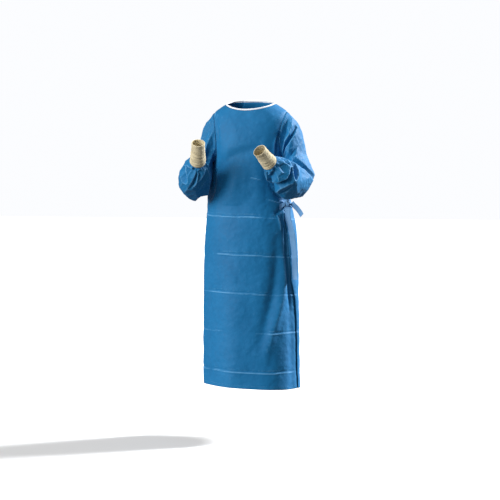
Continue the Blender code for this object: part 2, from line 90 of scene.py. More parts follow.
def between_rows(rows, keys, at):
    """A table's columns at places between its rows, on a smooth curve through them."""
    table, keys = np.array(rows, float), np.array(list(keys), float)
    at = np.clip(np.asarray(at, float), keys[0], keys[-1])
    low = np.clip(np.searchsorted(keys, at) - 1, 0, len(keys) - 2)
    before, after = np.maximum(low - 1, 0), np.minimum(low + 2, len(keys) - 1)
    span = (keys[low + 1] - keys[low])[..., None]
    t = (at - keys[low])[..., None] / span
    slope_low = (table[low + 1] - table[before]) / (keys[low + 1] - keys[before])[..., None] * span
    slope_high = (table[after] - table[low]) / (keys[after] - keys[low])[..., None] * span
    return (
        (2 * t**3 - 3 * t**2 + 1) * table[low]
        + (t**3 - 2 * t**2 + t) * slope_low
        + (3 * t**2 - 2 * t**3) * table[low + 1]
        + (t**3 - t**2) * slope_high
    )


def body_form(level, angle):
    """The gown's body without its folds: level 0 is the hem and 13 the neck."""
    level, angle = np.broadcast_arrays(np.asarray(level, float), np.asarray(angle, float))
    columns = np.moveaxis(between_rows(BODY_ROWS, range(len(BODY_ROWS)), level), -1, 0)
    height, half_width, front_depth, back_depth, front_drop, back_drop, shift = columns
    side, front = np.sin(np.radians(angle)), np.cos(np.radians(angle))
    depth = np.where(front > 0, front_depth, back_depth)
    drop = np.where(front > 0, front_drop, back_drop)
    x = shift + half_width * np.sign(side) * np.abs(side) ** (2 / 2.3)
    y = -depth * np.sign(front) * np.abs(front) ** (2 / 2.3)
    hem_tilt = 0.036 * x * (1 - fade(level, 0.0, 4.0))
    return np.stack([x, y, height - drop * np.abs(front) ** 1.6 - hem_tilt], axis=-1)


def unit(vectors):
    return vectors / np.linalg.norm(vectors, axis=-1, keepdims=True)


def body_outward(level, angle):
    level = np.asarray(level, float)
    up = body_form(np.minimum(level + 0.02, NECK), angle) - body_form(np.maximum(level - 0.02, 0.0), angle)
    return unit(np.cross(body_form(level, np.asarray(angle) + 1.0) - body_form(level, np.asarray(angle) - 1.0), up))


def row_height(level):
    return between_rows(BODY_ROWS, range(len(BODY_ROWS)), level)[..., 0]


def level_at(height):
    dense = np.linspace(0, NECK, 1301)
    return np.interp(height, row_height(dense), dense)


def folds_at(around, along, folds, around_scale, along_scale, whole_turn=None):
    """The height of all the folds over a form: each follows its own line and fades at both ends."""
    relief = np.zeros(np.broadcast(around, along).shape)
    for line, half_width, depth, sharpness in folds:
        points = np.array(line, float)
        steps = np.linspace(0, len(points) - 1, 5 * (len(points) - 1) + 1)
        points = between_rows(points, range(len(points)), steps)
        middle = points[:, 0].mean()
        near = around if whole_turn is None else (around - middle + whole_turn / 2) % whole_turn + middle - whole_turn / 2
        x, y = near * around_scale, along * along_scale
        points = points * (around_scale, along_scale)
        lengths = np.linalg.norm(np.diff(points, axis=0), axis=1)
        walked = np.concatenate([[0], np.cumsum(lengths)])
        best, share = np.full(x.shape, 1e9), np.zeros(x.shape)
        for start, end, length, before in zip(points[:-1], points[1:], lengths, walked):
            t = np.clip(((x - start[0]) * (end[0] - start[0]) + (y - start[1]) * (end[1] - start[1])) / length**2, 0, 1)
            away = np.hypot(x - start[0] - t * (end[0] - start[0]), y - start[1] - t * (end[1] - start[1]))
            nearer = away < best
            best = np.where(nearer, away, best)
            share = np.where(nearer, (before + t * length) / walked[-1], share)
        profile = np.exp(-((best / half_width) ** (2 - sharpness)))
        relief += depth * profile * np.sin(np.pi * np.clip(share, 0.0, 1.0)) ** 0.7
    return relief


# Each body fold: its line as (angle, height) points, half width, depth (minus is a trough) and sharpness
BODY_FOLDS = (
    # The trough and the ridge that run down the front to the wearer's left, and the dark one by the flap
    (((42, -0.56), (37, -0.74), (29, -0.87), (21, -0.97), (14, -1.08)), 0.022, -0.011, 0.1),
    (((56, -0.64), (51, -0.79), (43, -0.89), (34, -0.97), (27, -1.04), (22, -1.12)), 0.022, 0.010, 0.1),
    (((58, -0.46), (57, -0.56), (57.5, -0.68), (60, -0.80), (63, -0.90)), 0.010, -0.012, 0.1),
    (((58, -0.74), (62, -0.90), (65, -1.06), (67, -1.20), (68, -1.38)), 0.026, -0.006, 0.0),
    # Broad soft folds of the rest of the front
    (((-6, -0.54), (-9, -0.80), (-10, -1.35)), 0.045, 0.006, 0.0),
    (((-30, -0.58), (-33, -0.90), (-31, -1.36)), 0.030, -0.004, 0.0),
    (((-44, -0.64), (-47, -0.95), (-45, -1.36)), 0.028, -0.006, 0.1),
    (((-66, -0.50), (-69, -0.85), (-67, -1.36)), 0.028, 0.006, 0.1),
    (((8, -0.86), (5, -1.05), (6, -1.38)), 0.026, -0.003, 0.1),
    # The back and the wrapped side
    (((112, -0.48), (113, -0.85), (110, -1.36)), 0.030, -0.010, 0.2),
    (((100, -0.44), (98, -0.80), (96, -1.10), (95, -1.36)), 0.036, -0.007, 0.0),
    (((131, -0.46), (129, -0.80), (132, -1.36)), 0.022, 0.006, 0.3),
    (((148, -0.44), (149, -0.85), (146, -1.36)), 0.032, 0.009, 0.1),
    (((165, -0.47), (167, -0.90), (163, -1.30)), 0.022, -0.006, 0.3),
    (((182, -0.48), (184, -0.85), (181, -1.36)), 0.032, -0.011, 0.2),
    (((199, -0.46), (197, -0.78), (200, -1.10)), 0.020, 0.005, 0.4),
    (((218, -0.44), (220, -0.88), (217, -1.36)), 0.036, 0.009, 0.1),
    (((234, -0.47), (236, -0.80), (233, -1.34)), 0.020, -0.005, 0.3),
    (((249, -0.50), (247, -0.90), (250, -1.36)), 0.028, -0.008, 0.2),
    # Chest and waist
    (((24, -0.160), (8, -0.190), (-15, -0.222), (-45, -0.262), (-80, -0.30)), 0.030, -0.012, 0.1),
    (((-4, -0.255), (-12, -0.330), (-14, -0.440)), 0.045, 0.009, 0.0),
    (((-70, -0.28), (-66, -0.36), (-64, -0.44)), 0.030, -0.008, 0.1),
    (((-18, -0.27), (-14, -0.34), (-12, -0.44)), 0.050, 0.005, 0.0),
    (((30, -0.20), (38, -0.27), (43, -0.36)), 0.028, -0.006, 0.2),
    (((18, -0.26), (20, -0.36), (22, -0.46)), 0.030, 0.004, 0.1),
    (((-40, -0.30), (-44, -0.38), (-50, -0.46)), 0.022, -0.004, 0.2),
    (((270, -0.225), (270, -0.300), (269, -0.370), (270, -0.460)), 0.045, 0.017, 0.0),
    (((270, -0.190), (270, -0.255), (270, -0.320)), 0.030, 0.009, 0.0),
    (((270, -0.320), (269, -0.375), (269, -0.430)), 0.030, 0.008, 0.0),
    # Drawn lines that run in to the knot
    (((72, -0.425), (56, -0.400), (38, -0.350)), 0.009, -0.007, 0.6),
    (((72, -0.434), (54, -0.428), (32, -0.412)), 0.008, 0.005, 0.7),
    (((72, -0.444), (56, -0.456), (42, -0.482)), 0.009, -0.009, 0.5),
    (((70, -0.452), (60, -0.480), (56, -0.530)), 0.007, 0.006, 0.8),
    (((47, -0.478), (48, -0.510), (49, -0.550)), 0.006, 0.006, 0.9),
    (((72, -0.418), (63, -0.380), (60, -0.330)), 0.009, -0.007, 0.5),
    (((66, -0.455), (64, -0.500), (63, -0.560)), 0.010, -0.009, 0.4),
    # Shoulders and the fronts of the armholes
    (((-69, -0.020), (-55, -0.060), (-47, -0.100), (-50, -0.150), (-56, -0.200)), 0.009, -0.0035, 0.4),
    (((-57, -0.036), (-50, -0.055), (-43, -0.075)), 0.006, -0.003, 0.7),
    (((84, -0.036), (74, -0.064), (62, -0.098), (56, -0.140)), 0.009, -0.009, 0.5),
    (((58, -0.105), (55, -0.160), (58, -0.235)), 0.010, -0.012, 0.5),
    (((51, -0.120), (48, -0.170), (51, -0.235)), 0.008, 0.005, 0.7),
    (((125, -0.06), (132, -0.13), (146, -0.22)), 0.020, -0.006, 0.3),
    (((205, -0.05), (200, -0.14), (196, -0.24)), 0.024, 0.005, 0.2),
    (((238, -0.05), (232, -0.13), (222, -0.24)), 0.018, -0.006, 0.3),
)

# Packing creases: each a nearly level line round the gown, with its own height, tilt, depth and reach
CREASES = (
    # height at the middle of the front, rise for each degree, depth, deeper from angle, to angle, reach from, to
    (-0.3150, -0.00060, 0.0014, 8, 22, 4, 30),
    (-0.4880, -0.00014, 0.0030, -70, 20, -90, 270),
    (-0.6520, -0.00010, 0.0025, -30, 58, -90, 270),
    (-0.8175, -0.00005, 0.0024, -50, 30, -90, 270),
    (-0.9860, 0.00002, 0.0018, 12, 92, -90, 270),
    (-1.1570, 0.00002, 0.0026, -40, 70, -90, 270),
)


def creases_at(angle, height):
    relief = np.zeros(np.broadcast(angle, height).shape)
    around = (angle + 90.0) % 360.0 - 90.0
    from_left = np.where(around > 90.0, 90.0 - (around - 90.0), around)
    for number, (middle, rise, depth, strong_from, strong_to, first, last) in enumerate(CREASES):
        wave = 0.0015 * np.sin(np.radians(around * 3 + 50 * number)) + 0.0008 * np.sin(np.radians(around * 9))
        away = height - (middle + rise * from_left + wave)
        strength = 0.20 + 0.24 * np.sin(np.radians(around * 4 + 70 * number)) + 0.18 * np.sin(np.radians(around * 11 + 20 * number))
        strength = np.maximum(strength, 0.06) + 0.45 * fade(around, strong_from - 8, strong_from + 8) * (1 - fade(around, strong_to - 8, strong_to + 8))
        if last - first < 360:
            strength = strength * fade(around, first, first + 8) * (1 - fade(around, last - 8, last))
        relief += depth * strength * (np.exp(-(((away + 0.002) / 0.0032) ** 2)) - 1.2 * np.exp(-(((away - 0.004) / 0.0040) ** 2)))
    section = fade(height, -1.30, -1.20) * (1 - fade(height, -0.50, -0.40))
    return relief + 0.0010 * section * np.abs(np.sin(np.pi * (height + 0.488) / 0.1672)) ** 0.6


def crumple(points, size, depth, seed):
    """Small flat facets with crisp edges, as on cloth that was folded up, opened and handled."""
    shift = Vector((seed * 3.1, seed * 1.7, seed * 2.9))
    gaps = []
    for point in points.reshape(-1, 3):
        place = Vector(point) / size + shift
        near = noise.voronoi(place + 0.35 * noise.noise_vector(place * 0.8))[0]
        gaps.append(near[1] - near[0])
    return depth * (0.4 - np.minimum(np.array(gaps) / 0.45, 1.0)).reshape(points.shape[:-1])


def rumple(points, size, depth, seed):
    """A gentle unevenness of handled cloth, from one patch to the next."""
    shift = Vector((seed * 3.7, seed * 1.9, seed * 2.3))
    flat = points.reshape(-1, 3)
    heights = [noise.fractal(Vector(point) / size + shift, 0.9, 2.1, 3) for point in flat]
    return depth * np.array(heights).reshape(points.shape[:-1])


def gown_point(level, angle, lift=0.0):
    """A point of the gown's body with every fold, moved out from the cloth by lift."""
    level, angle = np.broadcast_arrays(np.asarray(level, float), np.asarray(angle, float))
    height = row_height(level)
    relief = folds_at(angle, height, BODY_FOLDS, 0.0031, 1.0, whole_turn=360.0) + creases_at(angle, height)
    form = body_form(level, angle)
    relief = relief + rumple(form, 0.085, 0.0022, 1) + rumple(form, 0.022, 0.0005, 2) + crumple(form, 0.050, 0.0003, 3)
    return form + body_outward(level, angle) * (relief + lift)[..., None]


def armhole_angle(level):
    """Half the angle that the armhole takes out of the panels at this level."""
    share = np.clip((level - UNDERARM) / (SHOULDER_TIP - UNDERARM), 0.0, 1.0)
    return 33.0 * np.sqrt(1 - (2 * share - 1) ** 2)


def seam_angle(level):
    """Half the gap of a side or shoulder seam, as an angle."""
    return np.full(np.shape(level), 0.012)


def even_levels(rows):
    """Levels whose rows lie at even distances up the cloth."""
    dense = np.linspace(0, NECK, 1301)
    line = body_form(dense, 48.0)
    walked = np.concatenate([[0], np.cumsum(np.linalg.norm(np.diff(line, axis=0), axis=1))])
    return np.interp(np.linspace(0, walked[-1], rows), walked, dense)


def panel_places(rows, columns, low_edge, high_edge):
    levels = even_levels(rows)
    shares = np.linspace(0.0, 1.0, columns)
    low, high = low_edge(levels), high_edge(levels)
    return np.repeat(levels[:, None], columns, axis=1), low[:, None] + (high - low)[:, None] * shares


def ridges_of(grid, tube):
    """How sharply the cloth is folded outwards at each point, 0 where it is flat or hollow."""
    wide = np.concatenate([grid[:, -1:], grid, grid[:, :1]], axis=1) if tube else np.pad(grid, ((0, 0), (1, 1), (0, 0)), "reflect", reflect_type="odd")
    tall = np.pad(grid, ((1, 1), (0, 0), (0, 0)), "reflect", reflect_type="odd")
    across, along = wide[:, 2:] - wide[:, :-2], tall[2:] - tall[:-2]
    bend = 4 * grid - wide[:, 2:] - wide[:, :-2] - tall[2:] - tall[:-2]
    outward = unit(np.cross(across, along) + 1e-12)
    size = np.linalg.norm(across, axis=-1) + np.linalg.norm(along, axis=-1)
    return np.clip(((bend * outward).sum(axis=-1) / size - 0.035) / 0.16, 0.0, 1.0)


def cloth_mesh(name, grid, material, wall=WALL, tube=False):
    """A thin shell of cloth over a grid of points, with a UV map in metres along the cloth."""
    rows, columns = grid.shape[:2]
    across = columns if tube else columns - 1
    row, column = np.meshgrid(np.arange(rows - 1), np.arange(across), indexing="ij")
    after = (column + 1) % columns
    here, above = row * columns, (row + 1) * columns
    faces = np.stack([here + column, here + after, above + after, above + column], axis=-1).reshape(-1, 4)
    mesh = bpy.data.meshes.new(name)
    mesh.from_pydata(grid.reshape(-1, 3).tolist(), [], faces.tolist())
    middle = grid[rows // 2]
    width = np.linalg.norm(np.diff(middle, axis=0), axis=1).mean()
    length = np.linalg.norm(np.diff(grid[:, columns // 2], axis=0), axis=1)
    walked = np.concatenate([[0], np.cumsum(length)])
    corners = np.stack([column, column + 1, column + 1, column], axis=-1) * width
    heights = np.stack([walked[row], walked[row], walked[row + 1], walked[row + 1]], axis=-1)
    layer = mesh.uv_layers.new(name="cloth")
    layer.data.foreach_set("uv", np.stack([corners, heights], axis=-1).reshape(-1))
    # How sharply the cloth folds outwards, kept for the material, which paints a highlight along these folds.
    mesh.attributes.new("ridge_highlight", "FLOAT", "POINT").data.foreach_set("value", ridges_of(grid, tube).reshape(-1))
    mesh.materials.append(material)
    mesh.shade_smooth()
    piece = bpy.data.objects.new(name, mesh)
    bpy.context.scene.collection.objects.link(piece)
    shell = piece.modifiers.new("Wall", "SOLIDIFY")
    shell.thickness = wall
    shell.offset = 0.0
    return piece


class Shade:
    """A value inside a material: sums on it add Math nodes, and node() adds any other node."""

    def __init__(self, tree, socket=None):
        self.tree, self.socket = tree, socket

    def node(self, kind, inputs=None, output=0, stops=None, **settings):
        new = self.tree.nodes.new("ShaderNode" + kind)
        for name, value in settings.items():
            setattr(new, name, value)
        if stops:
            ramp = new.color_ramp.elements
            while len(ramp) < len(stops):
                ramp.new(0.5)
            for element, (place, colour) in zip(ramp, stops):
                element.position, element.color = place, (*colour, 1.0)
        for name, value in (inputs or {}).items():
            if isinstance(value, Shade):
                self.tree.links.new(value.socket, new.inputs[name])
            else:
                new.inputs[name].default_value = value
        return Shade(self.tree, new.outputs[output])

    def sum(self, operation, first, second):
        return self.node("Math", {0: first, 1: second}, operation=operation)

    def __add__(self, other):
        return self.sum("ADD", self, other)

    def __radd__(self, other):
        return self.sum("ADD", other, self)

    def __sub__(self, other):
        return self.sum("SUBTRACT", self, other)

    def __rsub__(self, other):
        return self.sum("SUBTRACT", other, self)

    def __mul__(self, other):
        return self.sum("MULTIPLY", self, other)

    def __rmul__(self, other):
        return self.sum("MULTIPLY", other, self)

    def mix(self, low, high):
        """A colour between two, by this value as the share."""
        return self.node("Mix", {0: self, 6: low, 7: high}, output=2, data_type="RGBA")


def start_material(name):
    material = bpy.data.materials.new(name)
    material.use_nodes = True
    shader = material.node_tree.nodes["Principled BSDF"]
    return material, shader, Shade(material.node_tree)


def finish_material(shader, shade, colour, roughness, bumps):
    """Joins a material's colour and roughness, and lays its bumps one on the other."""
    tree = shade.tree
    tree.links.new(colour.socket, shader.inputs["Base Color"])
    tree.links.new(roughness.socket, shader.inputs["Roughness"])
    normal = None
    for height, distance in bumps:
        inputs = {"Height": height, "Strength": 1.0, "Distance": distance}
        if normal:
            inputs["Normal"] = normal
        normal = shade.node("Bump", inputs)
    tree.links.new(normal.socket, shader.inputs["Normal"])


def make_nonwoven(name, dark, light, seed):
    """Spunbonded cloth: random fibres pressed together, with small bond points and uneven colour, and a painted
    highlight that lightens it along sharp outward folds.
    """
    material, shader, shade = start_material(name)
    place = shade.node("TexCoord", output=3)
    patches = shade.node("TexNoise", {"Vector": place, "Scale": 7.0 + seed, "Detail": 4.0, "Roughness": 0.6})
    blotches = shade.node("TexNoise", {"Vector": place, "Scale": 60.0, "Detail": 3.0, "Roughness": 0.6})
    fibres = shade.node("TexNoise", {"Vector": place, "Scale": 900.0, "Detail": 4.0, "Roughness": 0.7, "Distortion": 1.5})
    bonds = shade.node("TexVoronoi", {"Vector": place, "Scale": 520.0, "Randomness": 0.35})
    share = patches * 0.55 + blotches * 0.30 + fibres * 0.15
    share = shade.node("MapRange", {0: share, 1: 0.36, 2: 0.64, 3: 0.0, 4: 1.0})
    # Painted highlight: the colour turns towards a pale blue along sharp outward folds, where light catches the crease
    # edges.
    ridge_highlight = shade.node("Attribute", output=2, attribute_name="ridge_highlight")
    colour = (ridge_highlight * 0.75).mix(share.mix((*dark, 1.0), (*light, 1.0)), (0.120, 0.360, 0.640, 1.0))
    roughness = 0.56 + 0.14 * blotches
    finish_material(shader, shade, colour, roughness, ((blotches, 0.0012), (fibres, 0.00016), (bonds, 0.00012)))
    shader.inputs["Specular IOR Level"].default_value = 0.24
    shader.inputs["Sheen Weight"].default_value = 0.08
    shader.inputs["Sheen Roughness"].default_value = 0.45
    shader.inputs["Sheen Tint"].default_value = (0.55, 0.75, 1.0, 1.0)
    return material


gown_blue = make_nonwoven("gown cloth", (0.001, 0.120, 0.300), (0.005, 0.158, 0.375), 0)


def left_of_front(level):
    return 90.0 - np.maximum(armhole_angle(level), seam_angle(level))


def right_of_front(level):
    return -left_of_front(level)


FRONT_ROWS, FRONT_COLUMNS = 340, 140

levels, angles = panel_places(FRONT_ROWS, FRONT_COLUMNS, right_of_front, left_of_front)
front_panel = cloth_mesh("front_panel_cloth", gown_point(levels, angles), gown_blue)
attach(front_panel, "root")
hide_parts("front_panel")

# Inner back
# The wearer's left back, of the same cloth, sewn to the front at the left side and left shoulder. Its free
# edge lies under the outer back, past the middle of the back.

# Level, end of the outer back, end of the inner back
WRAP_EDGES = np.array(
    (
        (0.0, 81.0, 214.0),
        (0.8, 77.0, 214.0),
        (1.4, 75.0, 214.0),
        (1.7, 72.0, 213.0),
        (2.1, 64.0, 213.0),
        (3.1, 61.0, 213.0),
        (4.2, 62.0, 213.0),
        (4.8, 67.0, 213.0),
        (5.2, 78.0, 213.0),
        (5.8, 86.0, 212.0),
        (6.4, 100.0, 211.0),
        (7.0, 117.0, 210.0),
        (8.0, 135.0, 208.0),
        (9.8, 149.0, 205.0),
        (13.0, 164.0, 200.0),
    )
)


def left_of_back(level):
    return 180.0 - left_of_front(level)


def end_of_inner_back(level):
    return np.interp(level, WRAP_EDGES[:, 0], WRAP_EDGES[:, 2])


levels, angles = panel_places(210, 72, left_of_back, end_of_inner_back)
inner_back = cloth_mesh("inner_back_cloth", gown_point(levels, angles), gown_blue)
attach(inner_back, "root")
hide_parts("back_panel_inner")

# Outer back
# The wearer's right back, of the same cloth, sewn on at the right side and right shoulder. It wraps over
# the inner back and the left side, and its free edge hangs at the front left.

WRAP_LIFT = 0.0055


def wrap_lift(angle):
    return WRAP_LIFT * (1 - fade(angle, 226.0, 262.0))


def edge_roll(level, angle):
    """The outer back's free edge turns in at the front, so the cloth beside it bulges and catches the light."""
    away = angle - end_of_outer_back(level)
    wavy = 0.8 + 0.2 * np.sin(level * 2.3)
    return (1 - fade(level, 5.0, 6.5)) * wavy * (0.0022 * np.exp(-(((away - 8.0) / 5.0) ** 2)) - 0.0012 * np.exp(-away / 2.0))


def end_of_outer_back(level):
    return np.interp(level, WRAP_EDGES[:, 0], WRAP_EDGES[:, 1])


def right_of_back(level):
    return 180.0 + left_of_front(level)


levels, angles = panel_places(300, 132, end_of_outer_back, right_of_back)
outer_back = cloth_mesh("outer_back_cloth", gown_point(levels, angles, wrap_lift(angles) + edge_roll(levels, angles)), gown_blue)
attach(outer_back, "root")
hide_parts("back_panel_outer")

# Sleeves
# Each is one piece of the same cloth, sewn into a tube under the arm and set into its armhole. It is cut
# wide, so it bags at the bent elbow in large flat facets, and is gathered where it meets the cuff.

SLEEVE_SEAM_GAP = 0.0019
BEND_RADIUS = 0.079
ARMS = {
    # side, then the middle of the sleeve below the armhole, at the bend's corner, at the cuff, and the hand
    "left": (1, (0.190, -0.006, -0.205), (0.246, -0.052, -0.384), (0.139, -0.250, -0.258), (0.108, -0.313, -0.206)),
    "right": (-1, (-0.180, -0.006, -0.205), (-0.252, -0.060, -0.396), (-0.174, -0.255, -0.251), (-0.158, -0.303, -0.173)),
}
SLEEVE_ROWS = (
    # stage, half width across the bend, towards its inside, towards its outside
    (1.00, 0.044, 0.068, 0.062),
    (1.25, 0.052, 0.070, 0.066),
    (1.50, 0.058, 0.070, 0.070),
    (1.75, 0.063, 0.070, 0.070),
    (2.00, 0.066, 0.068, 0.074),
    (2.30, 0.065, 0.062, 0.077),
    (2.60, 0.058, 0.052, 0.067),
    (2.82, 0.045, 0.042, 0.050),
    (2.94, 0.037, 0.036, 0.039),
    (3.00, 0.0335, 0.0335, 0.0335),
)
